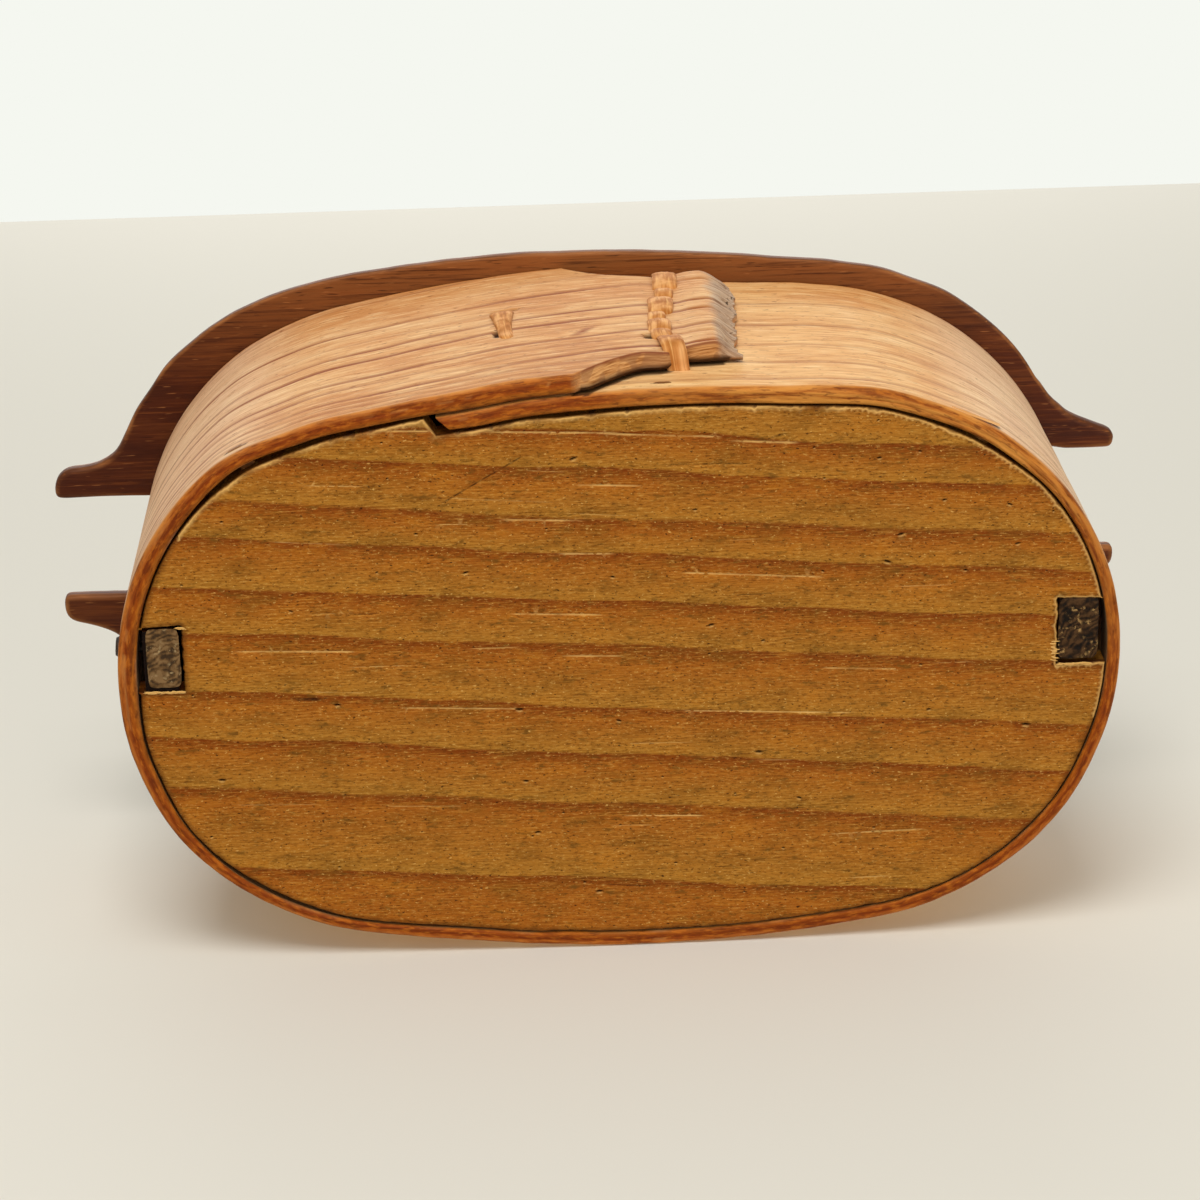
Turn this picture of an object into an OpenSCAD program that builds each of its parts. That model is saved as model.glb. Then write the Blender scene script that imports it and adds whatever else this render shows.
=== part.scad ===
// Oval bentwood box with a lid that snaps between two end posts, in millimetres.
// The box stands on its bottom board: +Z is up, X runs along the length and the laced seam is on the -Y side.
// The origin is the middle of the underside. The lid and the posts are drawn where the lid rests on the band.

/* [Band] */
// Length of the band, outside
band_l = 200; // [185:1:240]
// Width of the band, outside, measured without the seam's second layer
band_w = 122; // [104:1:136]
// Height of the band
band_h = 70; // [58:1:95]
// Thickness of the bent strip
wall = 3.8; // [2.6:0.1:4.4]
// How far the long sides bow out past the end circles
side_bow = 3.5; // [2:0.1:7]
// Rounding of the worn outer edges of the strip
rim_r = 1.2; // [0.5:0.1:1.6]
// Bevel of the inner edges of the strip
inner_edge = 0.5; // [0.2:0.1:0.8]

/* [Seam] */
// Where the inner end of the strip stops, along X
inner_end_x = -36; // [-40:1:-30]
// How far the inner end leans from bottom to top
inner_end_lean = 1.5; // [0:0.5:4]
// Gap between the two layers
layer_gap = 0.3; // [0.2:0.05:0.5]
// Where the carved cuts that make the tongue begin, along X
cut_x = -8; // [-12:1:-4]
// End of the tongue, along X
tongue_x = 27.5; // [25:0.5:36]
// Wood carved away above the tongue
cut_top = 9; // [5:0.5:14]
// Wood carved away below the tongue
cut_low = 10; // [9:0.5:14]
// Radius of the gouge that starts each cut
gouge_r = 24; // [18:1:28]
// How much deeper the gouge bites than the straight cut
gouge_bite = 0.8; // [0.2:0.1:1.5]
// Radius of the tongue's upper corner
tip_r = 8; // [4:1:14]
// How far the tongue's end leans back at the bottom
tip_lean = 3; // [0:0.5:6]
// Swelling of the tongue beyond the lacing
bulge_h = 0.9; // [0.4:0.1:1.4]
// Thickness left at the very end of the tongue
tip_t = 1.4; // [0.8:0.1:2]
// Length of the bevel that thins the tongue's end
tip_bevel = 6; // [3:0.5:9]

/* [Root lacing] */
// Middle of the lacing, along X
lace_x = 12; // [9:0.5:13]
// Width of the split root
lace_w = 5.8; // [4:0.1:7]
// Width of the short stitches
lace_short_w = 5; // [3.6:0.1:6]
// Thickness of the split root
lace_t = 1.2; // [0.8:0.1:1.6]
// Height of each slit that the root passes through
slit_h = 1.6; // [1.2:0.1:2.2]
// Pairs of one long and one short stitch on the tongue
stitch_pairs = 3; // [2:1:4]
// Share of each pair that the long stitch takes
long_share = 0.68; // [0.55:0.01:0.75]
// Length of the last stitch, over the tongue's lower edge
last_stitch = 11; // [8:0.5:14]
// How far past the tongue's edges the root enters the inner layer
lace_past = 1.8; // [1.4:0.1:2.4]
// Middle of the single root tack, along X
tack_x = -20.5; // [-26:0.5:-16]
// Upper slit of the tack
tack_top = 44; // [38:0.5:50]
// Length of the tack
tack_l = 19.5; // [12:0.5:22]
// Width of the tack at its narrow lower end
tack_low_w = 2.2; // [1.8:0.1:4]
// Clearance of root and pegs in their slits
slit_fit = 0.1; // [0.05:0.01:0.2]

/* [Bottom] */
// Thickness of the bottom board
board_t = 6; // [5:0.1:7]
// Gap between the board and the band
board_gap = 0.5; // [0.2:0.05:0.8]
// Gap between the board's step and the inner end of the strip
step_gap = 1.6; // [0.4:0.1:3]
// Width of each peg that holds the board
peg_w = 4; // [2.5:0.1:6]
// Thickness of each peg
peg_t = 1.2; // [0.8:0.1:2]
// How far each peg goes into the board
peg_in = 7; // [4:0.5:12]
// Angle of the end pegs from the long axis
peg_a = 57; // [40:1:65]
// Shortest way from a side peg to the middle of its long side, along X
side_peg_x = 9; // [4:0.5:13]

/* [Posts] */
// How far the posts and slots stand off the middle, towards the seam
post_off = 4.5; // [0:0.5:8]
// Width of each post
post_w = 18.6; // [17:0.2:22]
// Thickness of each post at its foot
post_t = 6.6; // [5:0.1:8]
// Gap between the post's flat back and the band
post_gap = 1.6; // [1:0.1:2.2]
// Clearance between the post's rounded back edges and the band, at the foot
post_clear = 0.6; // [0.6:0.05:1]
// Extra clearance at the top, that lets the post bend outwards
post_taper = 0.9; // [0.7:0.05:1.4]
// Width of the foot that stands in the board's notch
foot_w = 13; // [9:0.5:16]
// Clearance of the foot in the notch
notch_gap = 0.5; // [0.4:0.05:0.8]
// Clearance under the post's shoulders, and how far its foot stops short of the underside
shoulder_gap = 0.5; // [0.45:0.05:0.7]
// Height of the post's head above the lid
head_h = 11; // [8:0.5:16]
// How far the nose reaches past the post's inner face
nose_l = 2.2; // [1.8:0.1:2.8]
// Height of the nose's blunt edge
nose_t = 2; // [1:0.1:3]
// Clearance between the nose and the lid
nose_gap = 0.6; // [0.6:0.05:0.9]
// Height of the nails that hold the posts
nail_z = 9; // [8.8:0.1:12]
// Diameter of the nail's shank
nail_d = 2; // [1.4:0.1:2.6]
// Diameter of the nail's head
nail_head_d = 4.6; // [3.4:0.1:6]
// Thickness of the nail's head
nail_head_t = 0.9; // [0.5:0.1:1.4]
// How far the nail goes into the post
nail_in = 5; // [3:0.1:6]
// Clearance of the nail in the post, which lets the post rock on it
nail_gap = 0.35; // [0.35:0.05:0.5]

/* [Lid] */
// How far the lid overhangs the band all round
overhang = 5.4; // [4:0.1:9]
// Thickness of the lid
lid_t = 7; // [5.5:0.1:9]
// Thickness of the lid's edge
lid_edge_t = 3.2; // [2.4:0.1:4.4]
// Thickness of its prongs
prong_t = 4.6; // [3:0.1:5.4]
// Width of the bevel on the lid's top
lid_bevel = 9; // [6:0.5:12]
// How far the lid sits towards the left post
lid_shift = 3.5; // [0:0.5:4]
// Reach of the prongs past the lid's oval
prong_l = 9.8; // [6:0.2:14]
// Width of each prong
prong_w = 5.3; // [4:0.1:8]
// Radius of the hollow where a prong leaves the oval
hollow_r = 11; // [6:1:14]
// Radius of each prong's outer corner
prong_r = 2.5; // [1:0.5:4]
// Clearance between the posts' edges and the lid's slots
slot_gap = 0.45; // [0.35:0.05:0.8]
// How far the lid's slots are off the posts' middles, towards +Y on the left and -Y on the right
slot_skew = 2; // [0:0.1:2.5]
// Clearance between the nose and the end of the slot, with the post pushed back
latch_gap = 0.3; // [0.3:0.05:0.5]

/* [Handle] */
// Length of the handle
handle_l = 118; // [100:1:130]
// Height of the handle above the lid
handle_h = 24; // [20:0.5:30]
// Width of the handle at its ends
handle_w = 20; // [16:0.5:26]
// Width lost at the middle of the grip, on each side
waist = 3; // [1:0.5:4]
// Thickness of the grip at its middle
grip_t = 9; // [7:0.5:11]
// Length of the finger gap
finger_l = 74; // [60:1:80]
// Thickness of the handle's thin ends
handle_end_t = 4; // [3:0.5:6]
// Diameter of the pegs that hold the handle
handle_peg_d = 5; // [4:0.1:6]
// Clearance of those pegs in their holes
handle_peg_fit = 0.05; // [0.02:0.01:0.1]

/* [Hidden] */

big_fn = 360;        // circles of the outlines
small_fn = 48;       // nails and pegs
arc_steps = 8;       // facets on a carved curve
rim_steps = 3;       // facets on a rounded rim
over = 1;            // how far a cutter runs past what it cuts
lap = 0.01;          // how far the long sides stand proud where they run into the end circles

// Oval of the band: two end circles joined by two large arcs.
half_w = band_w / 2;
end_r = half_w - side_bow;
end_x = band_l / 2 - end_r;
side_y = (end_x * end_x - side_bow * side_bow) / (2 * side_bow);
side_r = half_w + side_y;

// Seam: one circle runs between the two layers. It is tangent to the inside of the left end
// and to the outside of the right end, so the strip stays one open spiral.
reach = side_r - end_r;
seam_x = wall * reach / (2 * end_x);
seam_y = sqrt(pow(reach, 2) * (1 - pow(wall / (2 * end_x), 2)) - pow(end_x, 2) + pow(wall / 2, 2));
seam_r = side_r - wall / 2;
function seam_a(x) = 270 + asin((x - seam_x) / seam_r);
join_x = tongue_x + over;                      // where the strip is full again past the tongue

// Edges of the strip, as [outwards, height]
rim_turn = [for (i = [0 : rim_steps]) let (a = 90 * i / rim_steps)
    [rim_r * (sin(a) - 1), rim_r * (1 - cos(a))]];
rim_edge = concat(rim_turn, [for (i = [rim_steps : -1 : 0]) [rim_turn[i][0], band_h - rim_turn[i][1]]]);
inside_edge = [[inner_edge + over - wall, -over], [-wall, inner_edge],
               [-wall, band_h - inner_edge], [inner_edge + over - wall, band_h + over]];

// Tongue
tongue_hi = band_h - cut_top;
tongue_lo = cut_low;
gouge_hi = cut_top + gouge_bite;
gouge_lo = cut_low + gouge_bite;

// Lacing
lace_top = tongue_hi + lace_past;
lace_low = board_t + slit_h;
pair_h = (lace_top - lace_low - last_stitch) / stitch_pairs;
stitches = 2 * stitch_pairs + 1;
function stitch_z(i) = i > 2 * stitch_pairs ? lace_low
    : lace_top - pair_h * floor(i / 2) - (i % 2) * pair_h * long_share;
root_out = wall + slit_fit;                    // where the root lies on the outer layer
root_mid = slit_fit - layer_gap;               // where it lies on the inner layer's outside
root_in = -wall - slit_fit;                    // where it lies on the inner layer's inside
slit_w = lace_short_w - 4 * slit_fit;
dive = slit_h / 4;                             // how far from a slit's middle a stitch comes out of it
crown = 0.96 * lace_t;                         // height of the rounded root over the wood
lace_fall = 0.8 * lace_t;                      // how much lower the root's sides lie than its middle
arch_power = 0.45;                             // under 1: stitches rise steeply at both ends
tack_low = tack_top - tack_l;

// Board
peg_z = board_t / 2;

// Posts: measured outwards from the middle of the box
inner_r = end_r - wall;
post_back = end_x + inner_r - post_gap;
post_front = post_back - post_t;
nose_x = post_front - nose_l;
slot_x = nose_x - latch_gap;
slot_w = post_w + 2 * (slot_gap + slot_skew);
shoulder_z = board_t + shoulder_gap;
lid_top = band_h + lid_t;
nose_z = lid_top + nose_gap;
head_top = lid_top + head_h;
head_slope = 3.4;                              // how far the head leans back above the nose
head_round = 3;                                // worn outer corner of the head
head_chamfer = 4;                              // carved corners of the head, seen from the end
nail_angle = asin(post_off / end_r);
nail_top_d = 0.8 * nail_head_d;                // the hammered top of the nail's head
nail_stand = 0.06;                             // the flat head stands this far off the curved band

// Lid
lid_r = end_r + overhang;
prong_out = slot_w / 2 + prong_w;
hollow_sink = 0.15;                            // how far each hollow runs into the oval's edge

// Handle
handle_rise = handle_h - handle_end_t;
handle_arc_r = (pow(handle_l / 2, 2) + pow(handle_rise, 2)) / (2 * handle_rise);
finger_h = handle_h - grip_t;
finger_arc_r = (pow(finger_l / 2, 2) + pow(finger_h, 2)) / (2 * finger_h);
waist_r = (pow(handle_l / 2, 2) + pow(waist, 2)) / (2 * waist);
handle_peg_x = (handle_l + finger_l) / 4;
end_cut = handle_w / 4;                        // carved corners of the handle's ends, in plan

// Points on an arc, from one angle to another
function arc_points(x, y, r, from, to) =
    [for (i = [0 : arc_steps]) let (a = from + (to - from) * i / arc_steps) [x + r * cos(a), y + r * sin(a)]];

// A solid turned about an upright axis. Edge lists the rim's points as [outwards from r, height].
module turned(x, y, r, edge) {
    translate([x, y, 0])
        rotate_extrude($fn = big_fn)
            polygon(concat([[0, edge[0][1]]], [for (p = edge) [r + p[0], p[1]]],
                           [[0, edge[len(edge) - 1][1]]]));
}

// A point far out on the line from a long side's centre through an end's centre, where their circles meet
function beyond(side, way, x, y) =
    let (a = atan2(y, end_x - side * x)) [side * (end_x + band_w * cos(a)), way * band_w * sin(a)];

// The four-centred oval with the given edge. Low is the circle of its -Y side, used from one x to another.
module oval(edge, low = [0, side_y, side_r], from = -band_l, to = band_l) {
    base = edge[0][1];
    for (side = [-1, 1])
        turned(side * end_x, 0, end_r, edge);
    intersection() {
        turned(0, -side_y, side_r + lap, edge);
        turned(low[0], low[1], low[2] + lap, edge);
        translate([0, 0, base])
            linear_extrude(height = edge[len(edge) - 1][1] - base)
                intersection() {
                    polygon([[-end_x, 0], beyond(-1, 1, 0, side_y), beyond(1, 1, 0, side_y),
                             [end_x, 0], beyond(1, -1, low[0], low[1]), beyond(-1, -1, low[0], low[1])]);
                    translate([from, -band_w])
                        square([to - from, 2 * band_w]);
                }
    }
}

// The oval of the spiral strip: the outer layer's circle up to x, and the inner layer's from there on
module spiral(edge, x) {
    oval(edge, [seam_x, seam_y, seam_r + wall], to = x);
    oval(edge, [seam_x, seam_y, seam_r], from = x);
}

// Something placed on the seam at x: its own +X then points straight out of the box.
module on_seam(x) {
    translate([seam_x, seam_y, 0])
        rotate([0, 0, seam_a(x)])
            translate([seam_r, 0, 0])
                children();
}

// Something placed at an end: its own +X then points outwards, from the end circle's centre.
module on_end(side, angle) {
    translate([side * end_x, 0, 0])
        rotate([0, 0, side > 0 ? angle : 180 - angle])
            children();
}

// A flat outline in X and Z, given a thickness along Y
module upright(from, to) {
    translate([0, to, 0])
        rotate([90, 0, 0])
            linear_extrude(height = to - from)
                children();
}

// Part of a ring round the seam's centre, from one x to another
module seam_ring(r_in, r_out, from, to) {
    intersection() {
        translate([seam_x, seam_y])
            difference() {
                circle(r = r_out, $fn = big_fn);
                circle(r = r_in, $fn = big_fn);
            }
        translate([from, -band_w])
            square([to - from, band_w]);
    }
}

// Outline of the tongue in X and Z, with a carved hollow where each cut begins
module tongue_outline() {
    low_x = cut_x + sqrt(pow(gouge_r, 2) - pow(gouge_r - gouge_lo, 2));
    high_x = cut_x + sqrt(pow(gouge_r, 2) - pow(gouge_r - gouge_hi, 2));
    low_z = gouge_lo - gouge_r;
    high_z = band_h - low_z - gouge_lo + gouge_hi;
    polygon(concat(
        [[inner_end_x - 2 * over, 0]],
        arc_points(low_x, low_z, gouge_r, 180 + asin(low_z / gouge_r), asin((tongue_lo - low_z) / gouge_r)),
        [[tongue_x - tip_lean, tongue_lo]],
        arc_points(tongue_x - tip_r, tongue_hi - tip_r, tip_r, 0, 90),
        arc_points(high_x, band_h + gouge_r - gouge_hi, gouge_r,
                   -asin((band_h + gouge_r - gouge_hi - tongue_hi) / gouge_r),
                   -180 + asin((gouge_r - gouge_hi) / gouge_r)),
        [[inner_end_x - 2 * over, band_h]]));
}

// What is cut away at the seam: the wood round the tongue, and a thin gap under the outer layer
module seam_cut() {
    difference() {
        translate([0, 0, -over])
            linear_extrude(height = band_h + 2 * over)
                seam_ring(seam_r - layer_gap, seam_r + wall + over, inner_end_x, join_x);
        intersection() {
            linear_extrude(height = band_h)
                seam_ring(seam_r, seam_r + wall + 2 * over, inner_end_x - over, join_x + over);
            upright(-band_w, 0)
                tongue_outline();
        }
    }
    on_seam(inner_end_x)
        translate([-wall - over, 0, 0])
            rotate([90, 0, 90])
                linear_extrude(height = wall + over - layer_gap / 2)
                    polygon([[-over, -over], [inner_end_lean, -over],
                             [0, band_h + over], [-over, band_h + over]]);
}

// The swelling of the tongue beyond the lacing
module swelling() {
    half = (tongue_x - lace_x - lace_w / 2 - layer_gap) / 2;
    r = (pow(half, 2) + pow(bulge_h, 2)) / (2 * bulge_h);
    intersection() {
        on_seam(tongue_x - half)
            intersection() {
                translate([wall + bulge_h - r, 0, 0])
                    cylinder(r = r, h = band_h, $fn = big_fn);
                translate([wall - over, -half - over, 0])
                    cube([bulge_h + 2 * over, 2 * (half + over), band_h]);
            }
        upright(-band_w, 0)
            tongue_outline();
    }
}

// What the bevel takes off the tongue's end
module tongue_bevel() {
    on_seam(tongue_x)
        translate([0, 0, -over])
            linear_extrude(height = band_h + 2 * over)
                polygon([[tip_t, 0], [wall + bulge_h, -tip_bevel], [wall + bulge_h + over, -tip_bevel],
                         [wall + bulge_h + over, over], [tip_t, over]]);
}

// Slits for the lacing and the tack. Grow is the clearance round the root.
module root_slits() {
    for (i = [0 : stitches])
        on_seam(lace_x)
            slit(stitch_z(i), slit_w + 2 * slit_fit, i > 0 && i < stitches ? wall + over : over / 2);
    for (z = [tack_top, tack_low])
        on_seam(tack_x)
            slit(z, tack_low_w + 2 * slit_fit, wall + over);
}

module slit(z, w, out) {
    translate([-wall - over, -w / 2, z - slit_h / 2])
        cube([wall + over + out, w, slit_h]);
}

// Pegs that hold the board, or, with a clearance, their holes
module board_pegs(grow) {
    for (side = [-1, 1], way = [-1, 1])
        on_end(side, way * peg_a)
            board_peg(end_r, grow);
    on_seam(side_peg_x)
        board_peg(0, grow);
    translate([side_peg_x, -side_y, 0])
        rotate([0, 0, 90])
            board_peg(side_r, grow);
}

module board_peg(r, grow) {
    long = wall + board_gap + peg_in;
    translate([r - long, -peg_w / 2 - grow, peg_z - peg_t / 2 - grow])
        cube([long - layer_gap + (grow > 0 ? over : 0), peg_w + 2 * grow, peg_t + 2 * grow]);
}

// Shanks of the post nails, or, with a clearance, their holes
module nail_shanks(grow, sides = [-1, 1]) {
    for (side = sides)
        on_end(side, -nail_angle)
            translate([inner_r - post_gap - nail_in - grow, 0, nail_z])
                rotate([0, 90, 0])
                    cylinder(d = nail_d + 2 * grow, h = nail_in + post_gap + wall + over / 2 + grow,
                             $fn = small_fn);
}

// The bent strip, in one piece, with its ends lapped on the -Y side
module band() {
    color("#c99a63")
        difference() {
            union() {
                spiral(rim_edge, join_x);
                swelling();
            }
            spiral(inside_edge, inner_end_x);
            seam_cut();
            tongue_bevel();
            root_slits();
            board_pegs(slit_fit);
            nail_shanks(slit_fit / 2);
        }
}

// The bottom board: it follows the inside of the band and steps in where the inner layer begins
module bottom() {
    notch_x = post_front - notch_gap;
    notch_w = foot_w + 2 * notch_gap;
    notch_l = wall + post_t + post_gap;
    color("#a9672a")
        difference() {
            spiral([[-wall - board_gap, 0], [-wall - board_gap, board_t]], inner_end_x - step_gap);
            for (side = [-1, 1])
                translate([side > 0 ? notch_x : -notch_x - notch_l, -post_off - notch_w / 2, -over])
                    cube([notch_l, notch_w, board_t + 2 * over]);
            board_pegs(slit_fit);
        }
}

// One post, drawn for the right end: a notched foot, a tapered back and a head with a nose over the lid
module post() {
    side_view = [
        [post_front, shoulder_gap], [post_front, nose_z], [nose_x, nose_z], [nose_x, nose_z + nose_t],
        [nose_x + head_slope, head_top], [post_back - post_taper - head_round, head_top],
        [post_back - post_taper, head_top - head_round], [post_back - post_taper, band_h],
        [post_back, shoulder_z], [post_back, shoulder_gap]];
    half = post_w / 2;
    end_view = [
        [-foot_w / 2, 0], [-foot_w / 2, shoulder_z], [-half, shoulder_z], [-half, head_top - head_chamfer],
        [-half + head_chamfer, head_top + over], [half - head_chamfer, head_top + over],
        [half, head_top - head_chamfer], [half, shoulder_z], [foot_w / 2, shoulder_z], [foot_w / 2, 0]];
    foot_r = inner_r - post_clear;
    rise = head_top + over;
    difference() {
        intersection() {
            upright(-post_off - half - over, -post_off + half + over)
                polygon(side_view);
            translate([0, -post_off, 0])
                rotate([90, 0, 90])
                    linear_extrude(height = band_l)
                        polygon(end_view);
            translate([end_x, 0, 0])
                cylinder(r1 = foot_r, r2 = foot_r - post_taper * rise / band_h, h = rise, $fn = big_fn);
        }
        nail_shanks(nail_gap, [1]);
    }
}

module left_post() {
    color("#6f5a3c")
        mirror([1, 0, 0])
            post();
}

module right_post() {
    color("#4a3a29")
        post();
}

module post_nails() {
    color("#2b2725") {
        nail_shanks(0);
        for (side = [-1, 1])
            on_end(side, -nail_angle)
                translate([end_r + nail_stand, 0, nail_z])
                    rotate([0, 90, 0])
                        cylinder(d1 = nail_head_d, d2 = nail_top_d, h = nail_head_t, $fn = small_fn);
    }
}

module bottom_pegs() {
    color("#3a2a1c")
        board_pegs(0);
}

// One stitch between two slits. Base is the face that it lies on, way the side it bulges to.
module stitch(low, high, w, base, way) {
    steps = 2 * arc_steps;
    arch = [for (i = [0 : steps]) let (s = i / steps)
        [base + way * lace_t * pow(max(sin(180 * s), 0), arch_power),
         low + dive + (high - low - 2 * dive) * s]];
    pillow(w, base, way)
        polygon(arch);
}

// The first and last stitches pass over an edge of the tongue into the inner layer. Up is 1 or -1.
module edge_stitch(slit_z, edge_z, far_slit_z, w, up) {
    out = root_out + lace_t;
    far_z = far_slit_z + up * dive;
    pillow(w, root_out, 1)
        polygon([[root_mid, edge_z + up * slit_fit], [root_mid, slit_z + up * slit_h / 2],
                 [root_mid + lace_t, slit_z + up * slit_h / 2],
                 [(root_mid + out) / 2, edge_z + up * (slit_fit + lace_t)],
                 [root_out, edge_z + up * (slit_fit + lace_fall)],
                 [root_out + lace_fall, edge_z], [out, edge_z - up * lace_t],
                 [out, far_z + up * lace_t], [root_out + lace_fall, far_z + up * lace_t / 4],
                 [root_out, far_z], [root_out, edge_z + up * slit_fit]]);
}

// A side view given the width of the root, and rounded across as split root is
module pillow(w, base, way) {
    r = (w * w / 4 + lace_fall * lace_fall) / (2 * lace_fall);
    intersection() {
        upright(-w / 2, w / 2)
            children();
        translate([base + way * (crown - r), 0, 0])
            cylinder(r = r, h = band_h, $fn = big_fn);
    }
}

// The lacing: one split root sewn up and back through the same slits, so it fills each of them
module root_lacing() {
    last = stitches - 1;
    color("#d9a45c")
        on_seam(lace_x) {
            edge_stitch(stitch_z(0), tongue_hi, stitch_z(1), lace_w, 1);
            for (i = [1 : last - 1])
                stitch(stitch_z(i + 1), stitch_z(i), i % 2 == 1 ? lace_short_w : lace_w, root_out, 1);
            edge_stitch(stitch_z(stitches), tongue_lo, stitch_z(last), lace_w, -1);
            for (i = [0 : last])
                stitch(stitch_z(i + 1), stitch_z(i), lace_short_w, root_in, -1);
            for (i = [0 : stitches]) {
                out = i > 0 && i < stitches ? root_out : root_mid;
                translate([root_in - lace_t / 3, -slit_w / 2, stitch_z(i) - slit_h / 2 + slit_fit])
                    cube([out - root_in + 2 * lace_t / 3, slit_w, slit_h - 2 * slit_fit]);
            }
        }
}

// The tack: a single short stitch, wide above and worn narrow below
module root_tack() {
    color("#c98f4c")
        on_seam(tack_x) {
            intersection() {
                stitch(tack_low, tack_top, lace_w, root_out, 1);
                rotate([90, 0, 90])
                    linear_extrude(height = wall + 2 * lace_t)
                        polygon([[-tack_low_w / 2, tack_low], [tack_low_w / 2, tack_low],
                                 [lace_w / 2, tack_top], [-lace_w / 2, tack_top]]);
            }
            stitch(tack_low, tack_top, tack_low_w, root_in, -1);
            for (z = [tack_low + slit_h / 4, tack_top - slit_h / 4])
                translate([root_in - lace_t / 3, -tack_low_w / 2, z - slit_h / 4 + slit_fit / 2])
                    cube([root_out - root_in + 2 * lace_t / 3, tack_low_w, slit_h / 2 - slit_fit]);
        }
}

// One prong of the lid, drawn for the right end. Way is the side of its slot and mid the slot's middle.
module prong(way, mid) {
    edge_y = mid + way * prong_out;
    hollow_y = edge_y + way * hollow_r;
    hollow_x = end_x + sqrt(pow(lid_r + hollow_r - hollow_sink, 2) - pow(hollow_y, 2));
    touch_a = 180 + atan2(hollow_y, hollow_x - end_x);
    tip = max(end_x + lid_r + prong_l, hollow_x + prong_r);
    inner_y = mid + way * slot_w / 2;
    linear_extrude(height = prong_t)
        polygon(concat(
            [[end_x + lid_r - 2 * lid_bevel, inner_y], [tip, inner_y]],
            arc_points(tip - prong_r, edge_y - way * prong_r, prong_r, 0, way * 90),
            arc_points(hollow_x, hollow_y, hollow_r, -way * 90, way > 0 ? touch_a - 360 : touch_a),
            [[end_x + lid_r - 2 * lid_bevel, hollow_y / 2]]));
}

// The lid: an oval board, bevelled on top, with two prongs and a slot for the post at each end
module lid() {
    color("#5a2a16")
        translate([-lid_shift, 0, band_h])
            difference() {
                union() {
                    oval([[overhang, 0], [overhang, lid_edge_t], [overhang - lid_bevel, lid_t]]);
                    for (side = [-1, 1], way = [-1, 1])
                        mirror([side > 0 ? 0 : 1, 0, 0])
                            prong(way, -post_off - side * slot_skew);
                }
                for (side = [-1, 1])
                    translate([side > 0 ? slot_x + lid_shift : -slot_x + lid_shift - band_l / 2,
                               -post_off - side * slot_skew - slot_w / 2, -over])
                        cube([band_l / 2, slot_w, lid_t + 2 * over]);
                handle_peg_row(handle_peg_fit);
            }
}

// Pegs under the handle's two feet, or, with a clearance, their holes, measured from the lid's underside
module handle_peg_row(grow) {
    foot_h = sqrt(pow(handle_arc_r, 2) - pow(handle_peg_x, 2)) - handle_arc_r + handle_h;
    for (side = [-1, 1])
        translate([side * handle_peg_x, 0, grow > 0 ? -over : 0])
            cylinder(d = handle_peg_d + 2 * grow, h = lid_t + foot_h + (grow > 0 ? 2 * over : 0),
                     $fn = small_fn);
}

// The handle seen from above, before its waist is cut: a rectangle with its corners off
module handle_plan() {
    x = handle_l / 2;
    y = handle_w / 2;
    polygon([[-x, y - end_cut], [-x, end_cut - y], [end_cut - x, -y], [x - end_cut, -y],
             [x, end_cut - y], [x, y - end_cut], [x - end_cut, y], [end_cut - x, y]]);
}

// The handle: a carved bow, waisted in plan, with a finger gap under the grip
module handle() {
    half = handle_w / 2;
    color("#54260f")
        translate([-lid_shift, 0, lid_top])
            difference() {
                intersection() {
                    upright(-half, half)
                        intersection() {
                            translate([-handle_l / 2, 0])
                                square([handle_l, handle_h + over]);
                            translate([0, handle_h - handle_arc_r])
                                circle(r = handle_arc_r, $fn = big_fn);
                        }
                    linear_extrude(height = handle_h)
                        handle_plan();
                }
                upright(-half - over, half + over)
                    translate([0, finger_h - finger_arc_r])
                        circle(r = finger_arc_r, $fn = big_fn);
                for (way = [-1, 1])
                    translate([0, way * (half - waist + waist_r), -over])
                        cylinder(r = waist_r, h = handle_h + 2 * over, $fn = big_fn);
                translate([0, 0, -lid_t])
                    handle_peg_row(handle_peg_fit);
            }
}

module handle_pegs() {
    color("#8a5a30")
        translate([-lid_shift, 0, band_h])
            handle_peg_row(0);
}

band();
bottom();
left_post();
right_post();
post_nails();
bottom_pegs();
root_lacing();
root_tack();
lid();
handle();
handle_pegs();
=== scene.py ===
import bpy
import math
import random
from functools import partial
from types import SimpleNamespace
from mathutils import Matrix, Vector, noise
from mathutils.geometry import delaunay_2d_cdt


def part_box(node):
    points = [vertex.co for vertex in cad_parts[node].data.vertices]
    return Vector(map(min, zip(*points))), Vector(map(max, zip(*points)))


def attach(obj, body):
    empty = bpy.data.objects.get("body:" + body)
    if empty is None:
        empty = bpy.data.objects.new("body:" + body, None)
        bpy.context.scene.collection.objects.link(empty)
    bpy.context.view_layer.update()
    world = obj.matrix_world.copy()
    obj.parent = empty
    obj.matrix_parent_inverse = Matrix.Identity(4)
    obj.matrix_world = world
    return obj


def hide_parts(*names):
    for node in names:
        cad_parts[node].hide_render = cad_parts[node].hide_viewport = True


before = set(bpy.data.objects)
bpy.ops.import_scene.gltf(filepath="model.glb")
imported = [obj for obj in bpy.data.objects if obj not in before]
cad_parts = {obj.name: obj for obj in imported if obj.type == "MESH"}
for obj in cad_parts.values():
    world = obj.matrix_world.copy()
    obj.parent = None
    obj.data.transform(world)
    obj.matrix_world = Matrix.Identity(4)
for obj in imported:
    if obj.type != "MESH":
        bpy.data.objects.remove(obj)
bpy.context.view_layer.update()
scene = bpy.context.scene
mm = 0.001  # the pieces below are drawn in millimetres
print("frame loaded:", ", ".join(sorted(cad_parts)))

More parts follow.
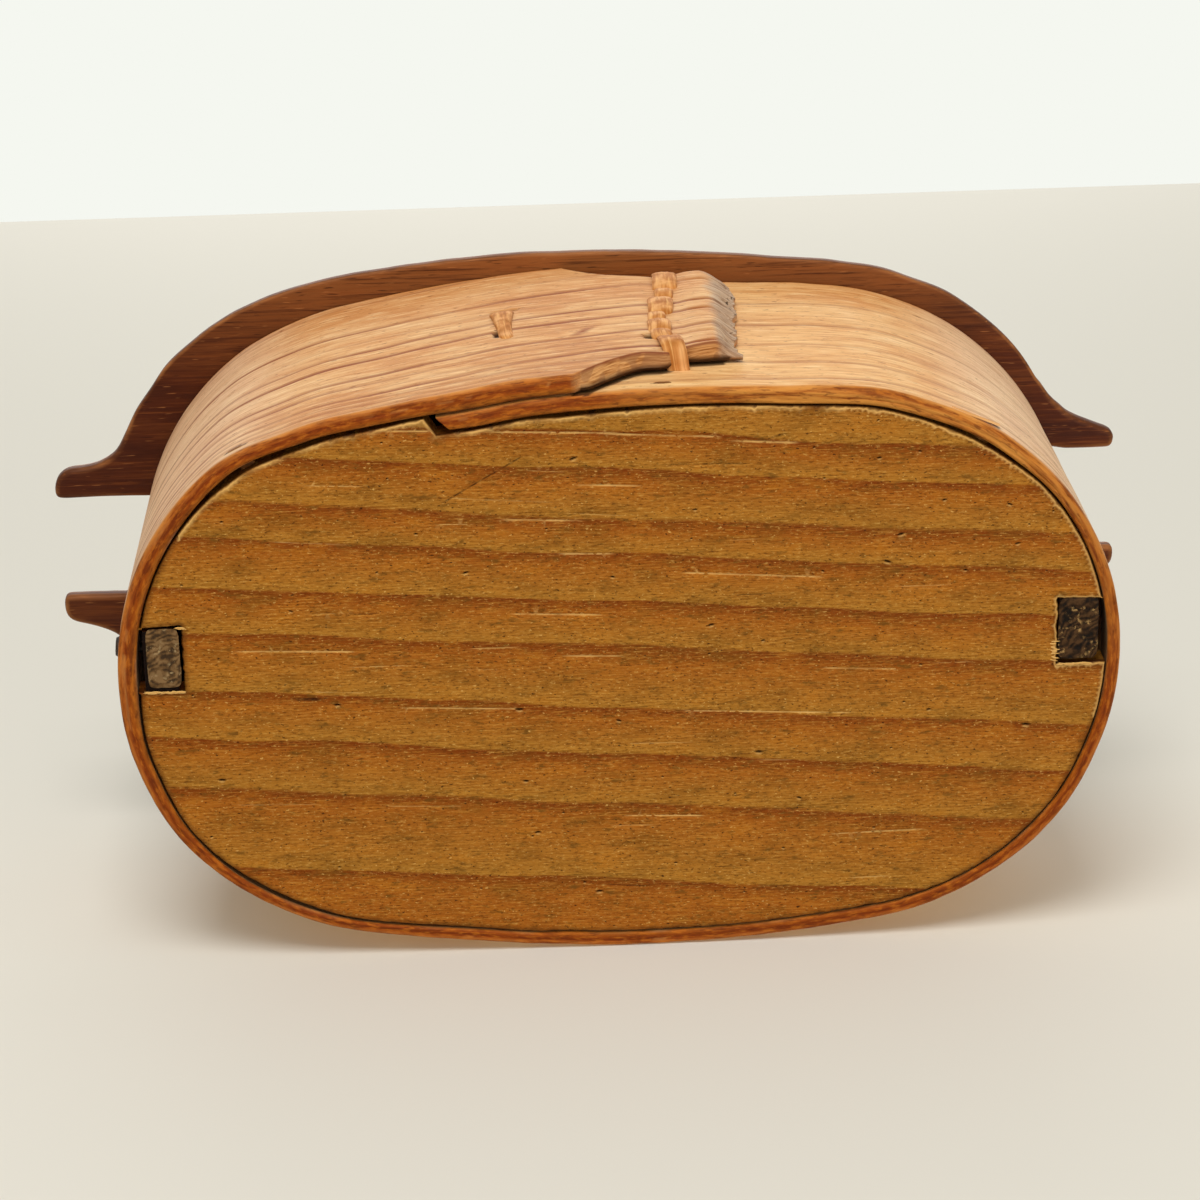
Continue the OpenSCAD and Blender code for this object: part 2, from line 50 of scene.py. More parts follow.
# The photograph shows the box lying on its far side, seam up, seen from below its bottom board.
photoCamera = {
    "lens": 102.03,  # mm on a 36 mm sensor
    "tilt": 21.9,  # degrees from square to the bottom board
    "yaw": -1.9,
    "roll": -1.36,
    "origin": (4.05, 13.26, 679.07),  # the box's origin before the lens: right, down, away, in mm
}
turn = (Matrix.Rotation(math.radians(photoCamera["roll"]), 3, "Z")
        @ Matrix.Rotation(math.radians(photoCamera["tilt"]), 3, "X")
        @ Matrix.Rotation(math.radians(photoCamera["yaw"]), 3, "Y"))
back = turn.transposed()
camera = bpy.data.objects.new("photoCamera", bpy.data.cameras.new("photoCamera"))
camera.data.lens = photoCamera["lens"]
camera.data.sensor_width = 36
camera.data.clip_start = 0.01
camera.data.clip_end = 50
camera.matrix_world = (Matrix.Translation(back @ Vector(photoCamera["origin"]) * -mm)
                       @ (back @ Matrix.Diagonal((1, -1, -1))).to_4x4())
scene.collection.objects.link(camera)
scene.camera = camera
scene.view_settings.view_transform = "Standard"
print("camera set")


def hexToLinear(code):
    channels = [int(code[i:i + 2], 16) / 255 for i in (0, 2, 4)]
    linear = [c / 12.92 if c <= 0.04045 else ((c + 0.055) / 1.055) ** 2.4 for c in channels]
    return (*linear, 1.0)


# Adds a node and gives back one of its outputs. Plain values and outputs to link fill its inputs in
# order; a name with a capital is an input, any other name a setting; stops fill a colour ramp.
def addNode(tree, kind, *values, take=None, stops=None, **named):
    node = tree.nodes.new("ShaderNode" + kind)
    for name, value in named.items():
        if name[0].islower():
            setattr(node, name, value)
    inputs = [s for s in node.inputs if s.enabled]
    given = list(zip(inputs, values))
    for name, value in named.items():
        if name[0].isupper():
            given.append((next(s for s in inputs if s.name == name.replace("_", " ")), value))
    for socket, value in given:
        if isinstance(value, bpy.types.NodeSocket):
            tree.links.new(value, socket)
        else:
            socket.default_value = hexToLinear(value) if isinstance(value, str) else value
    if stops:
        ramp = node.color_ramp
        while len(ramp.elements) < len(stops):
            ramp.elements.new(1.0)
        for element, (place, colour) in zip(ramp.elements, stops):
            element.position = place
            element.color = hexToLinear(colour) if isinstance(colour, str) else (colour, colour, colour, 1.0)
    return node.outputs[take] if take else next(s for s in node.outputs if s.enabled)


# Starts a material: fixed values go straight onto the Principled shader's own sockets. With the
# material it gives back the function that adds nodes to it.
def startMaterial(name, **fixed):
    material = bpy.data.materials.new(name)
    material.use_nodes = True
    shader = material.node_tree.nodes["Principled BSDF"]
    for socket, value in fixed.items():
        shader.inputs[socket.replace("_", " ")].default_value = value
    return material, partial(addNode, material.node_tree)


# Links a material's colour, and a relief of this depth in mm, to its shader.
def finishMaterial(material, colour, relief, strength, depth):
    tree = material.node_tree
    shader = tree.nodes["Principled BSDF"]
    tree.links.new(colour, shader.inputs["Base Color"])
    bump = addNode(tree, "Bump", Strength=strength, Distance=depth * mm, Height=relief)
    tree.links.new(bump, shader.inputs["Normal"])
    return material


def placeInMm(add):  # where a point of a surface lies in the box's own frame
    return add("VectorMath", add("TexCoord", take="Object"), operation="SCALE", Scale=1 / mm)


def wearOf(add):  # the shares of wear that a piece's points carry, as Red, Green and Blue
    return add("SeparateColor", add("Attribute", attribute_name="wear", take="Color")).node.outputs


# Noise whose features have these three sizes in mm, so it can be drawn out along the grain.
def grainNoise(add, place, sizes, detail=4.0, roughness=0.6):
    stretched = add("VectorMath", place, tuple(1 / size for size in sizes), operation="MULTIPLY")
    return add("TexNoise", stretched, Scale=1.0, Detail=detail, Roughness=roughness)


# Lays a colour over another: none of it where the pattern is at the first value, most at the second.
def tint(add, pattern, first, second, most, under, over):
    amount = add("MapRange", pattern, first, second, 0.0, most)
    return add("Mix", amount, under, over, data_type="RGBA")


def stain(add, share, most, under, over):  # the same by a share of wear or dirt from 0 to 1
    amount = add("Math", share, most, operation="MULTIPLY")
    return add("Mix", amount, under, over, data_type="RGBA")


def smoothStep(low, high, value):
    t = min(max((value - low) / (high - low), 0), 1)
    return t * t * (3 - 2 * t)


def noiseAt(a, b, c):  # smooth noise round 0, with features about one unit wide
    return noise.noise(Vector((a, b, c)))


# Faces of a tube whose rings of points follow one another from the first.
def tubeFaces(first, rings, size, flipped=False, filledEnds=True):
    last = first + (rings - 1) * size
    faces = [(a + k, a + (k + 1) % size, a + size + (k + 1) % size, a + size + k)
             for a in range(first, last, size) for k in range(size)]
    if flipped:
        faces = [face[:1] + face[:0:-1] for face in faces]
    if filledEnds:
        start, end = tuple(range(first, first + size)), tuple(range(last, last + size))
        faces += [start, end[::-1]] if flipped else [start[::-1], end]
    return faces


# Builds a piece from points in mm. Values per point go into attributes that its material reads.
def makePiece(name, points, faces, material, body, slot, replaced=(), sharp=50, **perPoint):
    mesh = bpy.data.meshes.new(name)
    mesh.from_pydata([Vector(p) * mm for p in points], [], faces)
    mesh.validate()
    for label, values in perPoint.items():
        isColour = len(values[0]) == 4
        attribute = mesh.attributes.new(label, "FLOAT_COLOR" if isColour else "FLOAT_VECTOR", "POINT")
        attribute.data.foreach_set("color" if isColour else "vector", [v for value in values for v in value])
    mesh.polygons.foreach_set("use_smooth", [True] * len(mesh.polygons))
    mesh.set_sharp_from_angle(angle=math.radians(sharp))
    mesh.materials.append(material)
    piece = bpy.data.objects.new(name, mesh)
    scene.collection.objects.link(piece)
    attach(piece, body)
    if replaced:
        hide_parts(*replaced)
    print(name, "made:", len(mesh.polygons), "faces")
    return piece


# The band: one strip bent round an oval of four arcs, its outer end lapped over the inner one.
bandShape = {
    "length": 200, "width": 122, "height": 70,
    "thickness": 3.8,
    "sideBow": 3.5,  # how far the long sides stand out past the end circles
    "innerEnd": -35, "innerScarf": 2.4, "scarfLength": 8, "layerGap": 0.5,
    "rimRadius": 0.75, "cutRadius": 0.3, "undercut": 0.8,  # worn rim, crisp knife-cut edge
    "rimWear": 0.9, "innerRadius": 0.4,  # how much rounder the rim's right front is, and its inner corner
    "cornerPoints": 5, "cornerRise": 1.1,  # a worn corner reaches this much further down than in
    "cutStart": -8, "cutAbove": 9, "gougeRadius": 24, "gougeBite": 0.8,
    "cutCrest": 6.5, "cutBelow": 10.6, "bevel": 2.5, "laceStep": 2.6, "tipRise": 1.3,
    "tongueEnd": 27.5, "cornerRadius": 8,
    "endLean": 3, "leanFrom": 53, "leanOver": 43,  # the tongue's end leans back below 53, by 3 in 43
    "swelling": 0.7, "swellFrom": 15.2, "tipThickness": 1.3, "tipFrom": 20.5,
    "lean": 0.7, "seamLean": 0.3,  # the bottom rim stands this far towards +Y, and more at the seam
    # how far the rim is out of true, in mm, at directions from the middle in degrees
    "pushes": [(-180, 0), (-160, 0.4), (-150, 0.6), (-140, -1.1), (-130, -1.1), (-120, -0.9),
               (-105, -0.2), (-80, 0), (-60, 0.1), (-50, 0.2), (-40, -0.4), (-30, 0.1), (-20, 0.5),
               (-10, 0.6), (0, 0.5), (10, 0.7), (20, 1.2), (40, 1.1), (70, 1.2), (90, 1.0),
               (105, 0.6), (120, 0.1), (140, 0.4), (160, 1.0), (170, 0.4), (180, 0)],
    # how much thinner the strip has worn there, in mm
    "thinned": [(-180, 0), (-170, 0.2), (-140, 0.7), (-128, 0.5), (-114, 0), (-62, 0), (-45, 0.6),
                (-30, 0.8), (-20, 1.2), (0, 1.2), (20, 1.0), (30, 1.1), (60, 0.9), (80, 0.75),
                (100, 0.8), (110, 1.2), (150, 1.6), (170, 0.7), (180, 0)],
    "lineSpacing": (8.0, 1.3),  # late-wood lines at the bottom rim, right part and left part, in mm
    "lineGrowth": 0.13, "lineWidth": 0.5, "lineDepth": 0.04, "ploughDepth": 0.7, "endRoughness": 0.22,
    "lineWeights": {6: 0.9, 7: 0.15, 8: 0.7, 9: 0.9, 10: 0.1, 11: 0.8, 12: 1.0, 13: 0.05, 14: 1.0, 15: 0.2},
    "otherLines": 0.4,  # the weight of every other line
    "knot": (-4.8, 26.0), "knotLift": 4.3,  # its place on the seam, and how far the lines climb up to it
    # holes worn round the sewing: place along the seam, height, half width, half height
    "holes": [(-20.6, 44.8, 2.8, 0.6), (-22.2, 31.0, 0.9, 2.2), (8.0, 20.5, 1.2, 1.5)],
    "holeDepth": 0.8,
    # splits in the tongue's weathered end: height and depth, and the one tooth that stands out
    "splits": [(19, 1.2), (27, 1.6), (35.5, 1.5), (46, 1.3)], "splitWidth": 0.9,
    "tooth": (15.2, 1.2),
    "splinter": ((66.0, -52.2), (74.6, -47.2)), "splinterHeight": 2.3,  # from and to, seen from below
    "step": 0.7, "rows": 96,  # mesh spacing along the strip, and points up each face
}
wall = bandShape["thickness"]
bandHeight = bandShape["height"]
endRadius = bandShape["width"] / 2 - bandShape["sideBow"]
endX = bandShape["length"] / 2 - endRadius
sideY = (endX ** 2 - bandShape["sideBow"] ** 2) / (2 * bandShape["sideBow"])
sideRadius = bandShape["width"] / 2 + sideY
reach = sideRadius - endRadius
seamX = wall * reach / (2 * endX)
seamY = math.sqrt(reach ** 2 * (1 - (wall / (2 * endX)) ** 2) - endX ** 2 + (wall / 2) ** 2)
seamRadius = sideRadius - wall / 2  # between the two layers
quarter = math.pi / 2


def seamAngle(x):
    return math.asin((x - seamX) / seamRadius) - quarter


# Reads a list of (direction, value) pairs at the direction of a place seen from the middle.
def roundAbout(table, x, y):
    direction = math.degrees(math.atan2(y, x))
    for (a, va), (b, vb) in zip(table, table[1:]):
        if a <= direction <= b:
            return va + (vb - va) * smoothStep(a, b, direction)
    return table[0][1]


# A place on an arc, with the box's own crookedness: its rim pushed in or out and leaning to one side.
def crooked(cx, cy, radius, angle, z):
    x = cx + radius * math.cos(angle)
    y = cy + radius * math.sin(angle)
    low = 1 - z / bandHeight
    push = roundAbout(bandShape["pushes"], x, y) * (0.3 + 0.7 * low)
    across = smoothStep(-75, -40, x) * (1 - smoothStep(35, 60, x)) if y < 0 else 0
    lean = (bandShape["lean"] + bandShape["seamLean"] * across) * low
    return (x + push * math.cos(angle), y + push * math.sin(angle) + lean, z)


def seamPoint(x, z, out):  # x along the box, z up, out from the outer layer's face
    return crooked(seamX, seamY, seamRadius + wall + out, seamAngle(x), z)


# The five arcs of the strip's outer face, from its inner end to the tongue.
def bandArcs(startAt, endAt):
    touch = math.atan2(-seamY, endX - seamX)
    far = math.atan2(sideY, endX)
    left = math.atan2(-seamY, -endX - seamX) + 4 * quarter
    return [(seamX, seamY, seamRadius, seamAngle(startAt), touch),
            (endX, 0, endRadius, touch, far),
            (0, -sideY, sideRadius, far, 2 * quarter - far),
            (-endX, 0, endRadius, 2 * quarter - far, left),
            (seamX, seamY, seamRadius + wall, left - 4 * quarter, seamAngle(endAt))]


def tongueLow(x):
    start, crest = bandShape["cutStart"], bandShape["cutCrest"]
    if x <= start:
        return 0
    height = bandShape["cutBelow"] * (1 - (max(crest - x, 0) / (crest - start)) ** 1.5)
    height += bandShape["laceStep"] * smoothStep(11, 14.5, x)  # the last stitch sits in a carved step
    return height + bandShape["tipRise"] * smoothStep(15, bandShape["tongueEnd"], x)


def tongueBevel(x):  # how much lower the slanting cut reaches on its inner side
    deep = bandShape["bevel"] * (1 - 0.45 * smoothStep(-3, 7, x))
    return deep * smoothStep(-8.5, -4.5, x) * (1 - smoothStep(9, 13, x))


def tongueHigh(x):
    radius = bandShape["gougeRadius"]
    deep = bandShape["cutAbove"] + bandShape["gougeBite"]
    middle = bandShape["cutStart"] + math.sqrt(radius ** 2 - (radius - deep) ** 2)
    if x <= bandShape["cutStart"]:
        return bandHeight
    height = deep - radius + math.sqrt(max(radius ** 2 - (x - middle) ** 2, 0))
    height = bandHeight - (height if x < middle else max(height, bandShape["cutAbove"]))
    corner = bandShape["cornerRadius"]
    past = x - (bandShape["tongueEnd"] - corner)
    return height - (corner - math.sqrt(max(corner ** 2 - past ** 2, 0)) if past > 0 else 0)


def tongueThickness(x):
    half = (bandShape["tongueEnd"] - bandShape["swellFrom"]) / 2
    share = (x - bandShape["swellFrom"] - half) / half
    full = wall + (bandShape["swelling"] * (1 - share ** 2) if abs(share) < 1 else 0)
    full -= 0.35 * math.exp(-((x - 11.5) / 3) ** 2)  # squeezed under the lacing
    fall = max(x - bandShape["tipFrom"], 0) / (bandShape["tongueEnd"] - bandShape["tipFrom"])
    return full + (bandShape["tipThickness"] - full) * min(fall, 1) ** 1.5


# The teeth of the split end: how far it stands out at a height, in mm.
def raggedEnd(z):
    rough = 0.9 * noiseAt(z / 3.1, 4.7, 0) + 0.6 * noiseAt(z / 1.1, 9.1, 0)
    splits = sum(depth * max(0, 1 - abs(z - height) / bandShape["splitWidth"])
                 for height, depth in bandShape["splits"])
    height, out = bandShape["tooth"]
    return rough - splits + out * math.exp(-((z - height) / 1.5) ** 2) - 0.5


def endLean(z):  # how far the tongue's end lies back at a height, in mm
    return bandShape["endLean"] * max(bandShape["leanFrom"] - z, 0) / bandShape["leanOver"]


def wallAt(x, y):  # how thick the strip is there, outside the tongue
    return wall - roundAbout(bandShape["thinned"], x, y)


# The wood's late-wood lines: gives the line number at a place on the strip, and the space between lines.
def growthLine(along, z, x, index):
    early, late = bandShape["lineSpacing"]
    growth = bandShape["lineGrowth"]
    base = early + (late - early) * smoothStep(150, 420, along) ** 0.7
    z += 1.3 * noiseAt(along / 80, z / 30, 3) + 0.35 * noiseAt(along / 17, z / 9, 12)
    if index == 4:  # on the outer layer the lines climb to the right, and part round the knot
        z -= 0.11 * max(x + 45, 0) * smoothStep(2, 14, z)
        dx, dz = x - bandShape["knot"][0], z + bandShape["knotLift"] - bandShape["knot"][1]
        z -= 1.7 * dz / (abs(dz) + 0.5) * math.exp(-(dx / 7) ** 2 - (dz / 3.2) ** 2)
    z = max(z, -3)
    return math.log(1 + growth * (z + 3.2) / base) / growth, base + growth * (z + 3.2)


stripArcs = bandArcs(bandShape["innerEnd"], bandShape["tongueEnd"])
wayRound = sum((stop - start) * radius for _, _, radius, start, stop in stripArcs[:4])
knotAlong = wayRound + (seamAngle(bandShape["knot"][0]) - stripArcs[4][3]) * (seamRadius + wall)

# Flat split pegs through the band into the board's edge, their ends trimmed flush.
pegShape = {
    "wide": 3.8, "high": 1.1, "deep": 6.5, "height": 3.4,
    "turn": 57, "sideX": 9.5,  # degrees from the long axis, and the place of the two on the long sides
    "proud": 0.1, "around": 16,
}


def pegAngles():
    turn = math.radians(pegShape["turn"])
    places = [(1, -turn), (1, turn), (3, 2 * quarter - turn), (3, 2 * quarter + turn)]
    places += [(2, math.acos(pegShape["sideX"] / sideRadius)), (0, seamAngle(pegShape["sideX"]))]
    return [(index, angle, pegShape["height"] + 0.5 * math.sin(7 * angle)) for index, angle in places]


pegPlaces = pegAngles()  # each peg's arc of the band, its angle there and its height


# Places along the strip: the arc each lies on, its angle there, and how far along the strip it is.
def bandStations():
    stations = []
    length = 0
    for index, (_, _, radius, start, stop) in enumerate(stripArcs):
        count = round(abs(stop - start) * radius / bandShape["step"])
        for i in range(min(index, 1), count + 1):
            angle = start + (stop - start) * i / count
            stations.append((index, angle, length + (angle - start) * radius))
        length = stations[-1][2]
    return stations


# What the strip is like at one station: its upper and lower edge, its faces and its worn corners.
def bandSection(index, angle, along):
    cx, cy, radius = stripArcs[index][:3]
    x, y = cx + radius * math.cos(angle), cy + radius * math.sin(angle)
    cutStart = bandShape["cutStart"]
    outer = index == 4
    carved = outer and x > cutStart
    inTongue = smoothStep(cutStart - 1, cutStart + 3, x) if outer else 0
    low, high, thick = 0, bandHeight, wallAt(x, y)
    if carved:
        low, high, thick = tongueLow(x), tongueHigh(x), tongueThickness(x)
    if not inTongue:  # the rims are worn a little uneven
        low += 0.15 * max(noiseAt(along / 45, 1.3, 0) + 0.6, 0)
        high -= max(0.25 * noiseAt(along / 50, 7.7, 0) + 0.12, 0)
    edge = bandShape["rimRadius"] + bandShape["rimWear"] * smoothStep(0, 50, x) * smoothStep(0, -40, y)
    edge += 0.3 * noiseAt(along / 18, 2.2, 0) + 0.25 * noiseAt(along / 4, 5.2, 0)
    edge = edge * (1 - inTongue) + bandShape["cutRadius"] * inTongue
    inner = bandShape["innerRadius"] * (1 - inTongue) + bandShape["undercut"] * inTongue
    top = thick - wall if carved else 0
    return SimpleNamespace(
        index=index, angle=angle, along=along, cx=cx, cy=cy, radius=radius, x=x, y=y,
        outer=outer, inTongue=inTongue, low=low, high=high, thick=thick, top=top, base=top - thick,
        edge=min(edge, (thick - inner) * 0.72), inner=inner, bevel=tongueBevel(x) * inTongue,
        gap=bandShape["layerGap"] * (1 - smoothStep(30, 42, x)) if index == 0 else 0,
        toEnd=smoothStep(bandShape["swellFrom"], bandShape["tongueEnd"], x) if outer else 0)


# The strip's cross-section there, as (out, height): up its outer face, over the rim, down its inner
# face and back under the bottom rim, where the wood's layers show as fine grooves.
def bandProfile(at):
    rows, corner, rise = bandShape["rows"], bandShape["cornerPoints"], bandShape["cornerRise"]
    edge, inner = at.edge, at.inner
    flatFrom = at.base + inner
    flat = at.top - edge - flatFrom
    bends = [quarter * i / corner for i in range(corner)]
    profile = [(at.top - edge * (1 - math.sin(a)), at.low + rise * edge * (1 - math.cos(a))) for a in bends]
    face = at.high - at.low - 2 * rise * edge
    profile += [(at.top, at.low + rise * edge + face * i / rows) for i in range(rows + 1)]
    bends = [quarter * (1 - i / corner) for i in range(1, corner + 1)]
    profile += [(at.top - edge * (1 - math.sin(a)), at.high - rise * edge * (1 - math.cos(a))) for a in bends]
    profile += [(flatFrom + flat * share, at.high + 0.1 * (1 - at.inTongue) * share) for share in (0.7, 0.4)]
    profile.append((flatFrom, at.high))
    face = at.high - at.low + at.bevel - 2 * inner
    profile += [(at.base, at.high - inner - face * i / rows) for i in range(rows + 1)]
    profile.append((flatFrom, at.low - at.bevel))
    for share in (0.3, 0.5, 0.7):
        groove = 0.12 * noiseAt(at.along / 12, share * 4, 4) + 0.1 * noiseAt(at.along / 2, share * 3, 9)
        groove += 0.12 * max(0, 1 - abs(share - 0.7) / 0.25)
        groove = groove * (1 - at.inTongue) - at.bevel * (1 - share)
        profile.append((flatFrom + flat * share, at.low + groove))
    return profile


def holeAt(x, z):  # how deep in a hole worn round the sewing a place lies, from 0 to 1
    return max(1 - smoothStep(0.55, 1.35, math.hypot((x - hx) / halfX, (z - hz) / halfZ))
               for hx, hz, halfX, halfZ in bandShape["holes"])


# Painted shade, with dirt, darkens the holes round the sewing, the slits round the pegs, the inner face
# behind the board's edge and the gap under the tongue.
def bandShadeAndDirt(at, outside, z, shadeAndDirt):
    if outside > 0.6 and z < 8:
        for index, angle, height in pegPlaces:
            if index == at.index:
                across = (at.angle - angle) * at.radius / (pegShape["wide"] / 2)
                near = math.hypot(across, (z - height) / (pegShape["high"] / 2))
                shadeAndDirt = max(shadeAndDirt, 1 - smoothStep(1.1, 1.5, near))
    # painted shade on the inner face, in the gap behind the board's edge
    if outside < 0.03 and at.low + 0.7 < z < 7:
        shadeAndDirt = 0.8
    # painted shadow in the gap under the tongue's cut edge
    if at.inTongue > 0.5 and outside < 0.3 and z < at.low - at.bevel + 1.5:
        shadeAndDirt = 0.9
    covered = bandShape["tongueEnd"] - 2 - endLean(z)
    # painted shadow on the inner layer where the tongue covers it
    if at.index == 0 and bandShape["cutStart"] < at.x < covered and outside > 0.9:
        shadeAndDirt = 0.9 * smoothStep(-0.9, -0.2, z - tongueLow(at.x) + tongueBevel(at.x))
        shadeAndDirt *= 1 - smoothStep(-0.6, 0.2, z - tongueHigh(at.x))
    return shadeAndDirt


# How far along the strip a point moves: the tongue's end is toothed and lies back, and the inner end
# is thinned to a scarf.
def endShift(at, outside, z, groove):
    if at.toEnd:
        shift = raggedEnd(z) * at.toEnd ** 8
        shift -= endLean(z) * at.toEnd ** 3
        return shift + 1.1 * (0.35 - groove) * at.toEnd ** 8
    if at.index == 0 and at.along < bandShape["scarfLength"]:
        scarf = bandShape["innerScarf"] * (1 - outside) + 1.5 * z / bandHeight
        return scarf * (1 - at.along / bandShape["scarfLength"])
    return 0


# One point of the strip, and what its material reads there: place in the wood, wear, figure and tone.
def bandPoint(at, out, z):
    outside = (out - at.base) / at.thick  # 0 on the inner face, 1 on the outer
    onFace = outside > 0.9
    line, spacing = growthLine(at.along, z, at.x, at.index)
    part = line - math.floor(line)
    fromLine = min(part, 1 - part) * spacing
    groove = math.exp(-(fromLine / bandShape["lineWidth"]) ** 2) if onFace else 0
    weight = bandShape["lineWeights"].get(round(line), bandShape["otherLines"])
    strength = 0.12 + 0.8 * weight + 0.5 * noiseAt(round(line) * 3.7, at.along / 60, 1.5)
    behind = smoothStep(120, 200, at.along) * (1 - smoothStep(360, 440, at.along))
    strength *= 1 - 0.6 * behind  # the lines are fainter on the far side
    depth = bandShape["lineDepth"]
    if at.outer:  # weather has ploughed the tongue's lines deep
        ploughed = 0.7 + 0.8 * noiseAt(round(line) * 2.3, at.x / 6, 8)
        depth += bandShape["ploughDepth"] * smoothStep(14, 22, at.x) * weight ** 1.5 * ploughed
    offset = out - at.gap * outside - groove * depth
    offset += 0.12 * noiseAt(at.along / 30, z / 22, outside * 2) * (1 if outside > 0.5 else 0.4)
    hole = 0
    if at.outer and onFace:
        offset += bandShape["endRoughness"] * smoothStep(19, 24, at.x) * noiseAt(at.along / 3, z / 1.7, 6)
        hole = holeAt(at.x, z)
        offset -= bandShape["holeDepth"] * hole
    angle = at.angle + endShift(at, outside, z, groove) / at.radius
    place = crooked(at.cx, at.cy, at.radius + offset, angle, max(z, 0))
    fromEdge = min(z - at.low, at.high - z)
    worn = at.edge * 0.9 + 0.25 * noiseAt(at.along / 9, z, 3)
    rim = (1 - smoothStep(worn - 0.35, worn + 0.5, fromEdge)) * (1 - at.inTongue)
    cut = at.inTongue * (1 - smoothStep(0.05, 0.45, fromEdge))
    grey = 0
    if at.outer and outside > 0.1:
        grey = smoothStep(20.5, 23.5, at.x + 1.5 * noiseAt(at.along / 3, z / 4, 1))
        grey *= smoothStep(0.0, 0.35, fromLine) * 0.5 + 0.5
    # the rim's outer arris is coloured lighter golden: partly wear, partly painted highlight
    arris = math.exp(-((fromEdge - at.edge * 0.75) / 0.6) ** 2) * (outside > 0.6) * (1 - at.inTongue)
    # pale on both end bends of the seam side: partly bleached wear, partly painted sheen
    bleachedAndSheen = smoothStep(58, 80, abs(at.x)) * smoothStep(10, -10, at.y)
    return (place, (at.along, z, out - at.top), (rim, cut, grey, arris),
            (line, spacing, bandShadeAndDirt(at, outside, z, hole)), (min(max(strength, 0), 1), bleachedAndSheen, 0))


# Fills one end of the strip, from its outer to its inner face.
def bandEnd(start, ring):
    corner, rows = bandShape["cornerPoints"], bandShape["rows"]
    backRow = 2 * corner + rows + 4  # where the inner face starts in the profile
    outerRow = [start + corner + i for i in range(rows + 1)]
    innerRow = [start + backRow + rows - i for i in range(rows + 1)]
    caps = [(outerRow[i], outerRow[i + 1], innerRow[i + 1], innerRow[i]) for i in range(rows)]
    caps.append(tuple(start + j for j in range(corner + rows, backRow + 1)))
    caps.append(tuple(start + j for j in (*range(backRow + rows, ring), *range(corner + 1))))
    return caps if start == 0 else [cap[::-1] for cap in caps]


# A splinter lifting off the rim's worn edge near the right end, in rings of four points.
def splinterPoints(steps):
    fromAngle, toAngle = (math.atan2(y, x - endX) for x, y in bandShape["splinter"])
    found = []
    for i in range(steps + 1):
        t = i / steps
        angle = fromAngle + (toAngle - fromAngle) * t
        wide = 0.2 + 1.1 * math.sin(math.pi * min(t * 0.75, 1)) ** 0.8
        lift = 0.8 * t ** 2
        for side, rise in ((-0.5, 0), (-0.2, 0.32), (0.3, 0.3), (0.5, 0)):
            z = bandShape["splinterHeight"] + side * wide - 0.5 * t
            place = crooked(endX, 0, endRadius + 0.05 + lift + rise - 0.15, angle, z)
            # the splinter carries a little of the arris's painted highlight
            found.append((place, (100 + i * 0.5, side, 0), (0.25, 0, 0, 0.3), (0.5, 5.0, 0), (0.5, 0, 0)))
    return found


def makeBand(material):
    sections = [bandSection(*station) for station in bandStations()]
    made = [bandPoint(at, *spot) for at in sections for spot in bandProfile(at)]
    ring = len(made) // len(sections)
    faces = tubeFaces(0, len(sections), ring, flipped=True, filledEnds=False)
    for start in (0, len(made) - ring):
        faces += bandEnd(start, ring)
    splinterSteps = 12
    faces += tubeFaces(len(made), splinterSteps + 1, 4)
    points, grain, wear, figure, tone = zip(*(made + splinterPoints(splinterSteps)))
    return makePiece("bandStrip", points, faces, material, "box", "band_wood", ["band"],
                     grain=grain, wear=wear, figure=figure, tone=tone)


def makePegs(material):
    points, faces = [], []
    around = pegShape["around"]
    levels = [(pegShape["proud"], 0.8), (0.0, 1.0), (-2.0, 1.0), (-pegShape["deep"], 0.75)]  # out, size
    for number, (index, angle, height) in enumerate(pegPlaces):
        cx, cy, radius = stripArcs[index][:3]
        gap = bandShape["layerGap"] if index == 0 else 0
        faces += tubeFaces(len(points), len(levels), around, flipped=True)
        for out, size in levels:
            for k in range(around):
                a = 4 * quarter * k / around
                rough = 1 + 0.12 * noiseAt(math.cos(a), math.sin(a), number * 3)
                wide, high = math.cos(a), math.sin(a)
                across = pegShape["wide"] / 2 * size * rough * math.copysign(abs(wide) ** 0.7, wide)
                rise = pegShape["high"] / 2 * size * rough * math.copysign(abs(high) ** 0.8, high)
                points.append(crooked(cx, cy, radius + out - gap, angle + across / radius, height + rise))
    makePiece("boardPegs", points, faces, material, "box", "peg_wood", ["bottom_pegs"])


# Fills a closed outline with triangles through the given inner points; points left outside are dropped.
def fillOutline(outline, inside):
    loop = [tuple(range(len(outline)))]
    flat = [Vector(p) for p in outline + inside]
    spots, _, triangles, origins, _, _ = delaunay_2d_cdt(flat, [], loop, 1, 1e-4)
    used = sorted({v for triangle in triangles for v in triangle})
    fresh = {old: new for new, old in enumerate(used)}
    place = {old: fresh[new] for new, group in enumerate(origins) for old in group if new in fresh}
    return [spots[v] for v in used], place, [tuple(fresh[v] for v in triangle) for triangle in triangles]


# A point of a closed outline moved inwards, square to the line between its neighbours.
def movedIn(outline, i, distance):
    x, y = outline[i]
    ax, ay = outline[i - 2]
    bx, by = outline[(i + 2) % len(outline)]
    size = math.hypot(bx - ax, by - ay) or 1
    return x - (by - ay) / size * distance, y + (bx - ax) / size * distance


def cellOf(x, y, size):  # the square cell in which a place lies
    return math.floor(x / size), math.floor(y / size)


